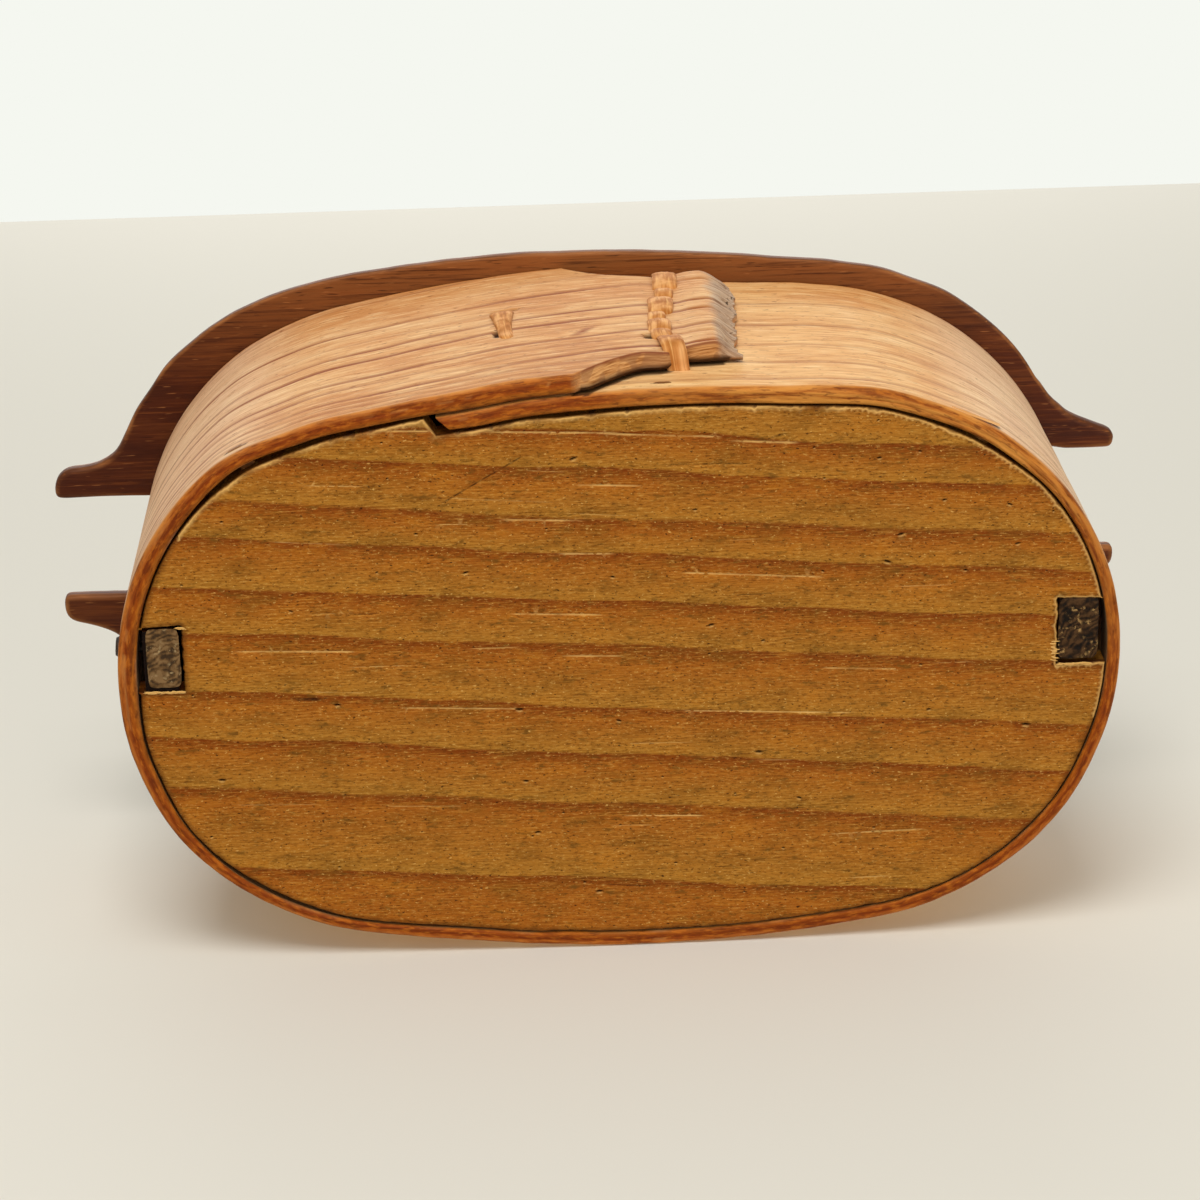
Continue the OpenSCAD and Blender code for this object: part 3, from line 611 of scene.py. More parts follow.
# Gives a function that tells how far a place is from an outline's points. It looks at the cells round
# the place only, so what is far off counts as 9 mm.
def edgeFinder(outline):
    cellSize, farOff = 3, 9
    cells = {}
    for x, y in outline:
        cells.setdefault(cellOf(x, y, cellSize), []).append((x, y))

    def fromEdge(x, y):
        column, row = cellOf(x, y, cellSize)
        near = [q for i in (-1, 0, 1) for j in (-1, 0, 1) for q in cells.get((column + i, row + j), ())]
        return min((math.hypot(x - px, y - py) for px, py in near), default=farOff)

    return fromEdge


def gridPoints(spacing, columns, rows):  # staggered rows of points, so many to each side of the middle
    return [(column * spacing + (spacing / 2 if row % 2 else 0), row * spacing)
            for column in range(-columns, columns + 1) for row in range(-rows, rows + 1)]


# The bottom board: planed pine let into the band, its edge chipped, with a notch for each post's foot.
boardShape = {
    "thickness": 6, "stepX": -37.2, "stepSlant": 2.2,
    # the notches, left one first: where each floor is, and how far each is shifted along Y
    "notchX": (86.8, 87.7), "notchMiddle": -4.5, "notchWidth": 13.6, "notchDrop": (-0.3, 0.5),
    "arris": 0.3, "sunk": 0.12, "spacing": 1.5, "columns": 63, "gridRows": 38,
    "nicks": 64, "scratches": 30, "seed": 11,
    # gap to the band, in mm, at directions from the middle in degrees
    "gaps": [(-180, 0.3), (-168, 0.3), (-158, 0.5), (-147, 1.4), (-135, 0.9), (-120, 0.5), (-108, 0.45),
             (-100, 0.8), (-90, 0.7), (-75, 0.4), (-60, 0.35), (-45, 0.45), (-33, 0.8), (-25, 0.4),
             (-12, 0.3), (0, 0.35), (30, 0.35), (60, 0.3), (100, 0.3), (130, 0.5), (148, 1.0), (160, 0.5),
             (180, 0.5)],
    # long scratches seen in the pine: from, to, half width, depth, light (1) or dark (-1)
    "marks": [(-45.6, -51.3, 0.9, -49.2, 0.16, 0.16, 1), (-34.6, -35.7, -17.7, -45.4, 0.14, 0.12, -1),
              (-66.1, 4.6, -59.1, 4.9, 0.3, 0.2, -1),
              (-76.6, -6.2, -52.7, -5.2, 0.14, 0.14, 1), (-44.3, 7.3, -19.9, 8.5, 0.14, 0.14, 1),
              (-22.8, -32.1, -6.7, -31.3, 0.16, 0.16, 1), (-11.9, -24.5, -0.6, -24.1, 0.15, 0.14, 1),
              (-21.6, -12.1, -3.2, -11.2, 0.15, 0.15, 1), (-8.3, -38.8, 5.2, -38.1, 0.15, 0.15, 1),
              (-11.6, -2.7, 0.6, -2.2, 0.14, 0.12, 1), (-3.0, -49.2, 20.8, -47.7, 0.16, 0.16, 1),
              (22.3, -46.8, 35.8, -45.9, 0.18, 0.18, 1), (12.4, -19.6, 40.6, -17.6, 0.15, 0.16, 1),
              (40.6, 2.0, 56.1, 2.8, 0.14, 0.12, 1), (12.0, 10.2, 46.3, 12.0, 0.13, 0.12, 1),
              (42.3, 38.9, 61.4, 38.6, 0.13, 0.12, 1), (0.1, 33.0, 16.6, 33.7, 0.12, 0.1, 1)],
}


# One notch, cut a little out of square: from its mouth at the rim, round its floor and back out.
def notchOutline(side, mouth, middle):
    half = boardShape["notchWidth"] / 2
    floor = side * boardShape["notchX"][side > 0]
    corners = [(mouth, middle - side * half), (floor, middle - side * half - side * 0.3),
               (floor, middle + side * half + side * 0.4), (mouth, middle + side * half)]
    outline = []
    for (ax, ay), (bx, by) in zip(corners, corners[1:]):
        steps = max(round(math.hypot(bx - ax, by - ay) / 0.4), 1)
        for k in range(steps):
            x, y = ax + (bx - ax) * k / steps, ay + (by - ay) * k / steps
            rough = 0.3 * noiseAt(x / 0.9, y / 0.9, 2) + 0.15 * noiseAt(x / 3, y / 3, 7)
            outline.append((x + rough, y + rough * 0.5))
    return outline


def boardOutline():
    outline = []
    notched = set()
    half = boardShape["notchWidth"] / 2
    for index, (cx, cy, radius, start, stop) in enumerate(bandArcs(boardShape["stepX"], boardShape["stepX"])):
        middle = boardShape["notchMiddle"]
        count = round(abs(stop - start) * radius / 0.6)
        for i in range(min(index, 1), count + 1):
            angle = start + (stop - start) * i / count
            x, y = cx + radius * math.cos(angle), cy + radius * math.sin(angle)
            inset = wallAt(x, y) + roundAbout(boardShape["gaps"], x, y)
            inset += 0.1 * noiseAt(x / 4, y / 4, 5)
            px, py, _ = crooked(cx, cy, radius - inset, angle, 0)
            if index == 0 and px < boardShape["stepX"] + boardShape["stepSlant"]:
                continue
            if abs(py - middle) >= half or abs(px) <= boardShape["notchX"][px > 0]:
                outline.append((px, py))
            elif (px > 0) not in notched:
                notched.add(px > 0)
                side = 1 if px > 0 else -1
                middle += boardShape["notchDrop"][px > 0]
                outline += notchOutline(side, side * (abs(px) + 0.3), middle)
    return outline


# Small dents: place, half length, half width, depth and tilt.
def boardNicks(draw):
    nicks = []
    for _ in range(boardShape["nicks"]):
        size = draw.random() ** 2
        nicks.append((draw.uniform(-88, 88), draw.uniform(-52, 52), 0.3 + 0.7 * size, 0.17 + 0.15 * size,
                      0.35 + 0.2 * size, draw.uniform(-0.4, 0.4)))
    return nicks


def boardStrokes(draw):  # the scratches that are seen, and fine ones drawn at random
    strokes = list(boardShape["marks"])
    for _ in range(boardShape["scratches"]):
        x, y = draw.uniform(-82, 70), draw.uniform(-45, 50)
        long = draw.uniform(3, 16) * draw.uniform(0.5, 1.6)
        strokes.append((x, y, x + long, y + long * draw.uniform(-0.02, 0.09), draw.uniform(0.06, 0.11),
                        draw.uniform(0.05, 0.09), draw.choice((0.8, 0.5, -0.6, -0.9))))
    return strokes


# Gives a function for the board's lower face: its height, and how light and how dark it is marked.
def boardFace(nicks, strokes):
    cellSize = 4
    grid = {}
    for number, (ax, ay, bx, by, *_) in enumerate(strokes):
        for cell in {cellOf(ax + (bx - ax) * k / 60, ay + (by - ay) * k / 60 + d, cellSize)
                     for k in range(61) for d in (-0.6, 0.6)}:
            grid.setdefault(cell, []).append(number)

    def faceAt(x, y):
        z = boardShape["sunk"] + 0.07 * noiseAt(x / 40, y / 9, 0) + 0.03 * noiseAt(x / 6, y / 2, 8)
        light, dark = 0, 0
        for nx, ny, longHalf, wideHalf, deep, tilt in nicks:
            dx, dy = x - nx, y - ny
            if abs(dx) < 3 and abs(dy) < 2:
                u = (dx + tilt * dy) / longHalf
                v = (dy - tilt * dx) / wideHalf
                z += deep * max(0, 1 - u * u - v * v)
                dark = max(dark, 1 - smoothStep(0.5, 1.2, math.hypot(u, v)))
                light = max(light, 0.6 - 0.6 * smoothStep(0.3, 1.0, math.hypot(u, v - 1.4)))
        for number in grid.get(cellOf(x, y, cellSize), ()):
            ax, ay, bx, by, half, deep, tone = strokes[number]
            long = math.hypot(bx - ax, by - ay)
            t = ((x - ax) * (bx - ax) + (y - ay) * (by - ay)) / long
            off = abs((x - ax) * (by - ay) - (y - ay) * (bx - ax)) / long
            if -0.5 < t < long + 0.5:
                ends = smoothStep(-0.5, 2, t) * smoothStep(long + 0.5, long - 2, t)
                broken = 0.55 + 0.6 * noiseAt(x / 4, y, number)
                share = max(0, 1 - (off / (half * 1.6)) ** 2) * ends * min(max(broken, 0), 1)
                z += deep * share
                light = max(light, share * max(tone, 0) * 1.3)
                dark = max(dark, share * max(-tone, 0) * 1.3)
        return max(z, 0.02), min(light, 1), min(dark, 1)

    return faceAt


# Points inside the rim where the lower face needs detail: at dents, along scratches and by the edge.
def boardDetail(nicks, strokes, rim):
    inside = []
    for nx, ny, longHalf, wideHalf, _, tilt in nicks:
        for u in (-1.2, -0.8, -0.4, 0, 0.4, 0.8, 1.2):
            for v in (-1.4, -0.9, -0.4, 0, 0.4, 0.9, 1.4, 2.2):
                inside.append((nx + u * longHalf, ny + v * wideHalf + tilt * u * longHalf))
    for ax, ay, bx, by, half, *_ in strokes:
        long = math.hypot(bx - ax, by - ay)
        steps = max(round(long / 0.9), 2)
        for k in range(steps + 1):
            for v in (-1.6, -0.8, 0, 0.8, 1.6):
                inside.append((ax + (bx - ax) * k / steps - (by - ay) / long * half * v,
                               ay + (by - ay) * k / steps + (bx - ax) / long * half * v))
    for share in (0.4, 0.9):
        for i in range(len(rim)):
            if (i + (share > 0.5)) % 2 == 0:
                inside.append(movedIn(rim, i, share))
    return inside


def makeBoard(material):
    outline = boardOutline()
    count = len(outline)
    thickness, arris, sunk = boardShape["thickness"], boardShape["arris"], boardShape["sunk"]
    draw = random.Random(boardShape["seed"])
    nicks = boardNicks(draw)
    strokes = boardStrokes(draw)
    rim = []
    for i, (x, y) in enumerate(outline):  # the lower edge is chipped, most on the seam side
        chip = max(0, noiseAt(x / 1.2, y / 1.2, 6)) * (0.9 if y < -30 else 0.4)
        rim.append(movedIn(outline, i, arris + chip))
    plain = gridPoints(boardShape["spacing"], boardShape["columns"], boardShape["gridRows"])
    fromEdge = edgeFinder(rim)
    faceAt = boardFace(nicks, strokes)
    points, wear = [], []
    spots, place, triangles = fillOutline(rim, plain + boardDetail(nicks, strokes, rim))
    for x, y in spots:
        z, light, dark = faceAt(x, y)
        edge = fromEdge(x, y)
        points.append((x, y, z))
        torn = 0.7 + 1.1 * noiseAt(x / 6, y / 6, 7) if y < -30 and x < 45 else 0
        torn = min(max(torn, 0), 1) * (1 - smoothStep(0.1, 0.6, edge))
        if x > 45 and y < 15:  # a thin bruised line along the edge
            torn = 0.8 * (1 - smoothStep(0.05, 0.3, edge))
        wear.append(((1 - smoothStep(0.05, 1.0, edge)) * (1 - torn), max(light, torn), dark, 1))
    faces = [tuple(reversed(triangle)) for triangle in triangles]
    middle = len(points)  # the row of points where the chipped edge meets the board's side
    # the row on the board's side, seen in the gap to the band, is painted near-black: painted shade in the
    # gap
    for x, y in outline:
        points.append((x, y, arris + sunk + 0.1))
        wear.append((0.6, 0, 1, 1))
    spots, topPlace, triangles = fillOutline(outline, plain[::3])
    top = len(points)
    for x, y in spots:
        points.append((x, y, thickness))
        wear.append((0, 0, 0, 1))
    faces += [tuple(top + v for v in triangle) for triangle in triangles]
    for i in range(count):
        k = (i + 1) % count
        faces.append((place[i], place[k], middle + k, middle + i))
        faces.append((middle + i, middle + k, top + topPlace[k], top + topPlace[i]))
    makePiece("bottomBoard", points, faces, material, "box", "board_pine", ["bottom"], wear=wear)
    makeTornFibres(material)


# Pale torn fibres along the board's edges: at the notches and beside the band's inner end.
tornShape = {
    "seed": 5,
    # from, to, how far they stand across, how many
    "edges": [(-94.4, 2.1, -87.4, 2.15, 0.35, 40), (-87.4, -11.6, -85.6, -11.3, 0.4, 8),
              (88.0, 3.0, 94.4, 3.2, 0.5, 26), (86.9, -2.6, 87.4, 2.4, 0.9, 14)],
    "rings": 5,
}


def makeTornFibres(material):
    draw = random.Random(tornShape["seed"])
    points, faces = [], []
    rings = tornShape["rings"]
    for ax, ay, bx, by, wide, number in tornShape["edges"]:
        for _ in range(number):
            t = draw.random()
            x, y = ax + (bx - ax) * t, ay + (by - ay) * t
            long, half = draw.uniform(0.8, 2.4), draw.uniform(0.06, 0.17)
            across = draw.uniform(-0.5, 0.5) * wide
            if abs(by - ay) > abs(bx - ax):
                x += across
            else:
                y += across
            slant = draw.uniform(-0.2, 0.25)
            faces += tubeFaces(len(points), rings, 4, flipped=True)
            for k in range(rings):
                s = k / (rings - 1) - 0.5
                size = half * (1 - (2 * s) ** 2) ** 0.5 + 0.01
                rise = 0.1 + 0.12 * math.cos(s * 3)
                for dy, dz in ((-size, 0), (0, -size), (size, 0), (0, size)):
                    points.append((x + s * long, y + s * long * slant + dy, max(0.3 - rise + dz, 0.02)))
    makePiece("tornFibres", points, faces, material, "box", "board_pine", wear=[(0, 1, 0, 1)] * len(points))


# The seam is sewn with one split root; each stitch dives into a slit at both ends.
lacingShape = {
    "thickness": 1.05, "dive": 1.6, "across": 14,
    # height of the upper and lower slit, place along the seam at both, width, how far it stands out
    "stitches": [(50.6, 44.4, 12.6, 12.2, 4.0, 0.25), (35.4, 29.8, 10.3, 9.9, 3.7, 0.2),
                 (24.2, 18.4, 10.2, 10.6, 4.3, 0.25), (45.2, 34.4, 11.5, 11.0, 5.2, 0.4),
                 (30.6, 23.2, 10.3, 10.3, 4.8, 0.38)],
    # the first and last stitch and the tack, as (height, out)
    "topStitch": [(63.0, -6.6), (62.6, -3.8), (61.8, -1.2), (60.2, 0.15), (57.0, 0.55), (53.6, 0.5),
                  (51.3, -0.1), (50.4, -1.7)],
    "lastStitch": [(19.3, -1.6), (18.4, 0.1), (15.5, 0.75), (13.0, 0.75), (11.5, 0.0), (11.0, -1.6),
                   (11.0, -3.4), (10.6, -4.9), (9.8, -6.6)],
    "tack": [(44.0, -1.5), (43.4, -0.1), (41.0, 0.4), (37.0, 0.4), (33.5, 0.2), (30.0, -0.05),
             (27.5, -0.3), (26.3, -1.4)],
    "inside": [(62, 50.4), (44.6, 35.2), (30.0, 24.0), (18.6, 10.5)],  # its stitches behind the seam
    # place along the seam and width of each kind, where it starts
    "topPlace": 13.4, "topWidth": 5.3, "lastPlace": 11.5, "lastWidth": 4.9, "insidePlace": 11.6,
    "insideWidth": 4.4, "insideProud": 0.45, "tackPlace": -20.8, "tackWidth": 4.9, "tackThickness": 1.2,
}


# A smooth curve through (height, out) points, with values spread along it.
def smoothPath(controls, count):
    path = []
    ends = [controls[0], *controls, controls[-1]]
    for i in range(1, len(ends) - 2):
        fourPoints = list(zip(*ends[i - 1:i + 3]))
        for k in range(count):
            t = k / count
            path.append(tuple(0.5 * (2 * b + (c - a) * t + (2 * a - 5 * b + 4 * c - d) * t * t
                                     + (3 * b - a - 3 * c + d) * t ** 3) for a, b, c, d in fourPoints))
    path.append(controls[-1])
    return path


# The outline of the strap across its width: domed on top, with the fine ridges of split root.
def strapRing(share, thickness, seed):
    across = lacingShape["across"]
    ring = []
    for k in range(across + 1):
        a = -1 + 2 * k / across
        dome = max(1 - abs(a) ** 2.4, 0) ** 0.5
        ridge = 0.12 * noiseAt(a * 4.5 + seed * 7, share * 1.5, seed)
        ring.append((a, thickness * (0.5 * dome - 0.1) + ridge * dome + 0.05))
    for k in range(across - 1, 0, -1):
        a = -1 + 2 * k / across
        ring.append((a, -thickness * 0.45 * max(1 - abs(a) ** 4, 0) ** 0.5))
    return ring


# Adds one flat strap of root to a piece, along a path of heights and distances out of the seam.
def addStrap(shape, path, xAt, widthAt, thickness, seed):
    points, faces, grain, wear = shape
    last = len(path) - 1
    faces.extend(tubeFaces(len(points), len(path), 2 * lacingShape["across"]))
    for i, (z, out) in enumerate(path):
        share = i / last
        x = xAt(share)
        here = Vector(seamPoint(x, z, out))
        along = Vector(seamPoint(x, *path[min(i + 1, last)])) - Vector(seamPoint(x, *path[max(i - 1, 0)]))
        along = along.normalized()
        side = (Vector(seamPoint(x + 0.5, z, out)) - Vector(seamPoint(x - 0.5, z, out))).normalized()
        up = along.cross(side).normalized()
        if up.y > 0 and abs(along.z) > 0.5:
            up = -up
        half = widthAt(share) / 2
        for a, height in strapRing(share, thickness, seed):
            wobble = 0.18 * noiseAt(share * 3, a * 0.5, seed + 20)
            points.append(tuple(here + side * (a * half + wobble) + up * height))
            grain.append((here.z + seed * 31, a * half, height))
            # Red marks the strap's sides and Green its ends, where painted shade darkens it
            wear.append((smoothStep(0.8, 1.0, abs(a)), max(0, 1 - min(share, 1 - share) * 9), 0, 1))


def arch(high, low, lift):  # the path of a stitch that comes out of one slit and goes into the next
    dive = lacingShape["dive"]
    middle, half = (high + low) / 2, (high - low) / 2 + 0.2
    return [(middle + half * math.cos(a), -dive + (dive + lift) * math.sin(a) ** 0.55)
            for a in (0.001 + (math.pi - 0.002) * i / 22 for i in range(23))]


def makeRoot(name, shape, material, replaced):  # turns finished straps into a piece
    points, faces, grain, wear = shape
    makePiece(name, points, faces, material, "box", "split_root", [replaced], 60, grain=grain, wear=wear)


def makeLacing(material):
    shape = ([], [], [], [])
    thickness = lacingShape["thickness"]
    for i, (high, low, xHigh, xLow, width, lift) in enumerate(lacingShape["stitches"]):
        addStrap(shape, arch(high, low, lift), lambda t: xHigh + (xLow - xHigh) * t,
                 lambda t: width * (0.86 + 0.14 * math.sin(math.pi * t)), thickness, i + 1)
    addStrap(shape, smoothPath(lacingShape["topStitch"], 6), lambda t: lacingShape["topPlace"] - 0.6 * t,
             lambda t: lacingShape["topWidth"], thickness, 9)
    addStrap(shape, smoothPath(lacingShape["lastStitch"], 6),
             lambda t: lacingShape["lastPlace"] + 2.2 * t ** 1.3,
             lambda t: lacingShape["lastWidth"] - 0.4 * t, thickness, 10)
    inside = -2 * wall - bandShape["layerGap"] - lacingShape["insideProud"]
    for i, (high, low) in enumerate(lacingShape["inside"]):
        controls = [(high, inside + 1.6), (high - 0.6, inside + 0.1), ((high + low) / 2, inside - 0.1),
                    (low + 0.6, inside + 0.1), (low, inside + 1.6)]
        addStrap(shape, smoothPath(controls, 5), lambda t: lacingShape["insidePlace"] + 0.4 * math.sin(i + t),
                 lambda t: lacingShape["insideWidth"], thickness * 0.8, 12 + i)
    makeRoot("rootLacing", shape, material, "root_lacing")


def makeTack(material):
    shape = ([], [], [], [])

    def widthAt(t):  # worn to a point below
        return lacingShape["tackWidth"] - 2.3 * smoothStep(0.1, 0.9, t) + 0.3 * math.sin(9 * t)

    addStrap(shape, smoothPath(lacingShape["tack"], 6), lambda t: lacingShape["tackPlace"] + 1.5 * t ** 2,
             widthAt, lacingShape["tackThickness"], 30)
    makeRoot("rootTack", shape, material, "root_tack")


# The lid keeps the outline of its node, worn: its corners are rubbed round and its rim is out of true.
lidShape = {
    "edge": 3.2, "thickness": 7, "prong": 4.6, "bevel": 9, "overhang": 5.4, "shift": 3.5, "slotFrom": 88,
    "under": 0.55, "over": 1.1, "prongUnder": 1.1, "prongOver": 2.0,  # how round its edges are rubbed
    "step": 0.7, "spacing": 3, "columns": 40, "gridRows": 22, "tipX": 111.3,
    # how far the rim is out of true, in mm, at directions from the middle in degrees
    "pushes": [(-180, 0.2), (-166, 0.5), (-159, 0.6), (-155, 1.1), (-150, 0.7), (-146, 0.3), (-135, -0.6),
               (-120, -0.6), (-108, -0.6), (-90, -0.85), (-73, -1.0), (-60, -1.0), (-51, -0.35), (-42, 0.7),
               (-35, 1.8), (-25, 2.2), (-16, 1.6), (-8, 0), (20, 0.2), (45, -0.2), (80, 0), (140, 0.1),
               (180, 0.2)],
}


def lidOut(x, y):  # how far a place lies outside the lid's oval, in mm
    x, y = abs(x + lidShape["shift"]), abs(y)
    if x / (y + sideY) < endX / sideY:
        return math.hypot(x, y + sideY) - sideRadius - lidShape["overhang"]
    return math.hypot(x - endX, y) - endRadius - lidShape["overhang"]


# The longest outline of a node's flat faces at one height.
def nodeOutline(node, height):
    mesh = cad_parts[node].data
    edges = set()
    for polygon in mesh.polygons:
        if abs(polygon.normal.z) > 0.99 and abs(polygon.center.z / mm - height) < 0.01:
            corners = [tuple(round(c / mm, 3) for c in mesh.vertices[v].co[:2]) for v in polygon.vertices]
            for a, b in zip(corners, corners[1:] + corners[:1]):
                if (b, a) in edges:
                    edges.discard((b, a))
                else:
                    edges.add((a, b))
    following = dict(edges)
    loops = []
    while following:
        here = min(following)
        loop = []
        while here in following:
            loop.append(here)
            here = following.pop(here)
        loops.append(loop)
    longest = max(loops, key=len)
    area = sum(ax * by - bx * ay for (ax, ay), (bx, by) in zip(longest, longest[1:] + longest[:1]))
    return longest if area > 0 else longest[::-1]


# Spaces the points of a closed outline evenly.
def evenly(outline, step):
    closed = outline + outline[:1]
    spans = [math.hypot(b[0] - a[0], b[1] - a[1]) for a, b in zip(closed, closed[1:])]
    count = round(sum(spans) / step)
    spaced = []
    index, used = 0, 0.0
    for i in range(count):
        want = sum(spans) * i / count
        while used + spans[index] < want:
            used += spans[index]
            index += 1
        t = (want - used) / spans[index]
        (ax, ay), (bx, by) = closed[index], closed[index + 1]
        spaced.append((ax + (bx - ax) * t, ay + (by - ay) * t))
    return spaced


# Wear on the prongs: the lid's outline is moved by up to 2 mm at the places where it is seen.
def wornProng(x, y):
    if x > 93 and -33 < y < -21.2:  # the upper right prong's root spreads wide
        y -= 1.6 * smoothStep(93, 97.5, x) * (1 - smoothStep(99, 105, x))
    if x > 99 and y < -15:  # and its tip is worn to a slope
        if y < -21.2:
            hollow = 0.8 * smoothStep(98, 102, x) * (1 - smoothStep(102, 108, x))
            y += 1.5 * smoothStep(104.5, 110.5, x) - hollow
        else:
            y += 0.6
        x = min(x, lidShape["tipX"]) - 1.3 * smoothStep(-19, -16, y) * smoothStep(104, 112, x)
    if x < -99 and -36 < y < -18:  # the upper left prong is stout
        y -= 1.4 * smoothStep(-119.5, -114.5, x) * smoothStep(-102.5, -110.5, x)
    if x < -104 and y > 10:  # the lower left prong bulges half way along
        y += 0.9 * smoothStep(-118, -112, x) * (1 - smoothStep(-111, -106, x))
    if x < -98 and 3 < y < 11.5:  # the slot has worn wider beside that prong's root than at its tip
        y -= 0.8 * smoothStep(-98, -103, x) * (1 - smoothStep(9.5, 11.5, y))
    return x, y


def wornLidOutline():
    outline = []
    for x, y in evenly(nodeOutline("lid", bandHeight), lidShape["step"]):
        if lidOut(x, y) > -0.3:
            push = roundAbout(lidShape["pushes"], x, y) * (1 - smoothStep(1, 4, lidOut(x, y)))
            size = math.hypot(x, y)
            x, y = x + x / size * push, y + y / size * push
        x, y = wornProng(x, y)
        rough = 0.16 * noiseAt(x / 7, y / 7, 1) + 0.06 * noiseAt(x / 1.5, y / 1.5, 4)
        outline.append((x + rough, y + rough))
    for _ in range(4):  # rubs its corners round
        threes = zip(outline[-1:] + outline[:-1], outline, outline[1:] + outline[:1])
        outline = [tuple((a + 2 * b + c) / 4 for a, b, c in zip(*three)) for three in threes]
    low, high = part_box("lid")
    return [tuple(min(max(spot[k], low[k] / mm), high[k] / mm) for k in (0, 1)) for spot in outline]


def roundedEdge(radius, distance):  # how far a rounded edge falls back at a distance from its rim
    return radius - math.sqrt(max(radius ** 2 - max(radius - distance, 0) ** 2, 0))


def prongShare(x, y):  # 1 on the lid's prongs, 0 on its oval
    share = smoothStep(-8, 0, lidOut(x, y)) * smoothStep(-34, -25, y) * (1 - smoothStep(17, 26, y))
    return share * smoothStep(lidShape["slotFrom"] - 6, lidShape["slotFrom"], abs(x))


# The height of the lid's under face or its upper one at a place, and how round its edge is rubbed there.
def lidFace(x, y, distance, top):
    inProng = prongShare(x, y)
    if top:
        edge, prong = lidShape["edge"], lidShape["prong"]
        rise = edge + (lidShape["thickness"] - edge) * smoothStep(0, 1, -lidOut(x, y) / lidShape["bevel"])
        height = max(rise, prong * inProng + edge * (1 - inProng))
        radius = lidShape["over"] + (lidShape["prongOver"] - lidShape["over"]) * inProng
        return bandHeight + height - roundedEdge(radius, distance), radius
    radius = lidShape["under"] + (lidShape["prongUnder"] - lidShape["under"]) * inProng
    uneven = 0.05 * (1 + noiseAt(x / 30, y / 8, 2))
    return bandHeight + 0.01 + roundedEdge(radius, distance) + uneven, radius


def makeLid(material):
    outline = wornLidOutline()
    count = len(outline)
    fromEdge = edgeFinder(outline)
    inside = []
    for depth in (0.12, 0.35, 0.7, 1.2, 2.0):
        ring = [movedIn(outline, i, depth) for i in range(count)]
        inside += [spot for spot in ring if fromEdge(*spot) > depth * 0.8]
    grid = gridPoints(lidShape["spacing"], lidShape["columns"], lidShape["gridRows"])
    inside += [spot for spot in grid if fromEdge(*spot) > 1.5]
    points, wear = [], []
    spots, place, triangles = fillOutline(outline, inside)
    size = len(spots)
    for top in (False, True):
        for x, y in spots:
            distance = min(fromEdge(x, y), 3)
            z, radius = lidFace(x, y, distance, top)
            points.append((x, y, z))
            rubbed = 1 - smoothStep(radius * 0.3, radius * 1.2, distance)
            wear.append((rubbed, 1 - smoothStep(0, 0.4, distance), 0, 1))
    faces = [tuple(reversed(triangle)) for triangle in triangles]
    faces += [tuple(size + v for v in triangle) for triangle in triangles]
    middle = len(points)
    for i, (x, y) in enumerate(outline):
        low, high = points[place[i]], points[size + place[i]]
        points.append((x, y, (low[2] + high[2]) / 2 + 0.1 * noiseAt(x / 4, y / 4, 0)))
        wear.append((0, 1, 0, 1))
    for i in range(count):
        k = (i + 1) % count
        faces.append((place[i], place[k], middle + k, middle + i))
        faces.append((middle + i, middle + k, size + place[k], size + place[i]))
    makePiece("wornLid", points, faces, material, "lid", "lid_wood", ["lid"], wear=wear)


# The sawn, rough ends of the posts' feet, seen in the board's notches from below.
footEnds = {  # the post, then the middle, the half sizes and how rough, in mm
    "leftFootEnd": ("left_post", (-90.65, -5.15), (3.3, 6.3), 0.12),
    "rightFootEnd": ("right_post", (91.9, -4.6), (4.0, 6.65), 0.32),
}


def makeFootEnd(name, material):
    body, (cx, cy), (halfX, halfY), rough = footEnds[name]
    columns, rows = 24, 40
    points, wear, faces = [], [], []
    for level in (0, 1):
        for i in range(columns + 1):
            for j in range(rows + 1):
                u, v = 2 * i / columns - 1, 2 * j / rows - 1
                pull = max(abs(u), abs(v)) / max((abs(u) ** 7 + abs(v) ** 7) ** (1 / 7), 1e-6)
                x, y = cx + halfX * u * pull, cy + halfY * v * pull
                x += 0.15 * noiseAt(x, y / 2, 3) * abs(u)
                y += 0.15 * noiseAt(x / 2, y, 8) * abs(v)
                edge = smoothStep(0.9, 1.0, max(abs(u), abs(v)))
                pits = rough * (0.7 * noiseAt(x / 1.1, y / 1.3, 5) + noiseAt(x / 3, y / 3, 1))
                z = min(max(0.2 + pits + 0.2 * edge, 0.04), 0.45)  # stays within the post's own end
                points.append((x, y, 0.55 if level else z))
                wear.append((edge, smoothStep(0.0, 0.5, pits / rough), 0, 1))
    size = (columns + 1) * (rows + 1)
    for i in range(columns):
        for j in range(rows):
            a, b = i * (rows + 1) + j, (i + 1) * (rows + 1) + j
            faces.append((a, a + 1, b + 1, b))
            faces.append((size + a, size + b, size + b + 1, size + a + 1))
    border = [(i, 0) for i in range(columns)] + [(columns, j) for j in range(rows)]
    border += [(i, rows) for i in range(columns, 0, -1)] + [(0, j) for j in range(rows, 0, -1)]
    border = [i * (rows + 1) + j for i, j in border]
    for a, b in zip(border, border[1:] + border[:1]):
        faces.append((a, b, size + b, size + a))
    makePiece(name, points, faces, material, body, "post_wood", wear=wear)


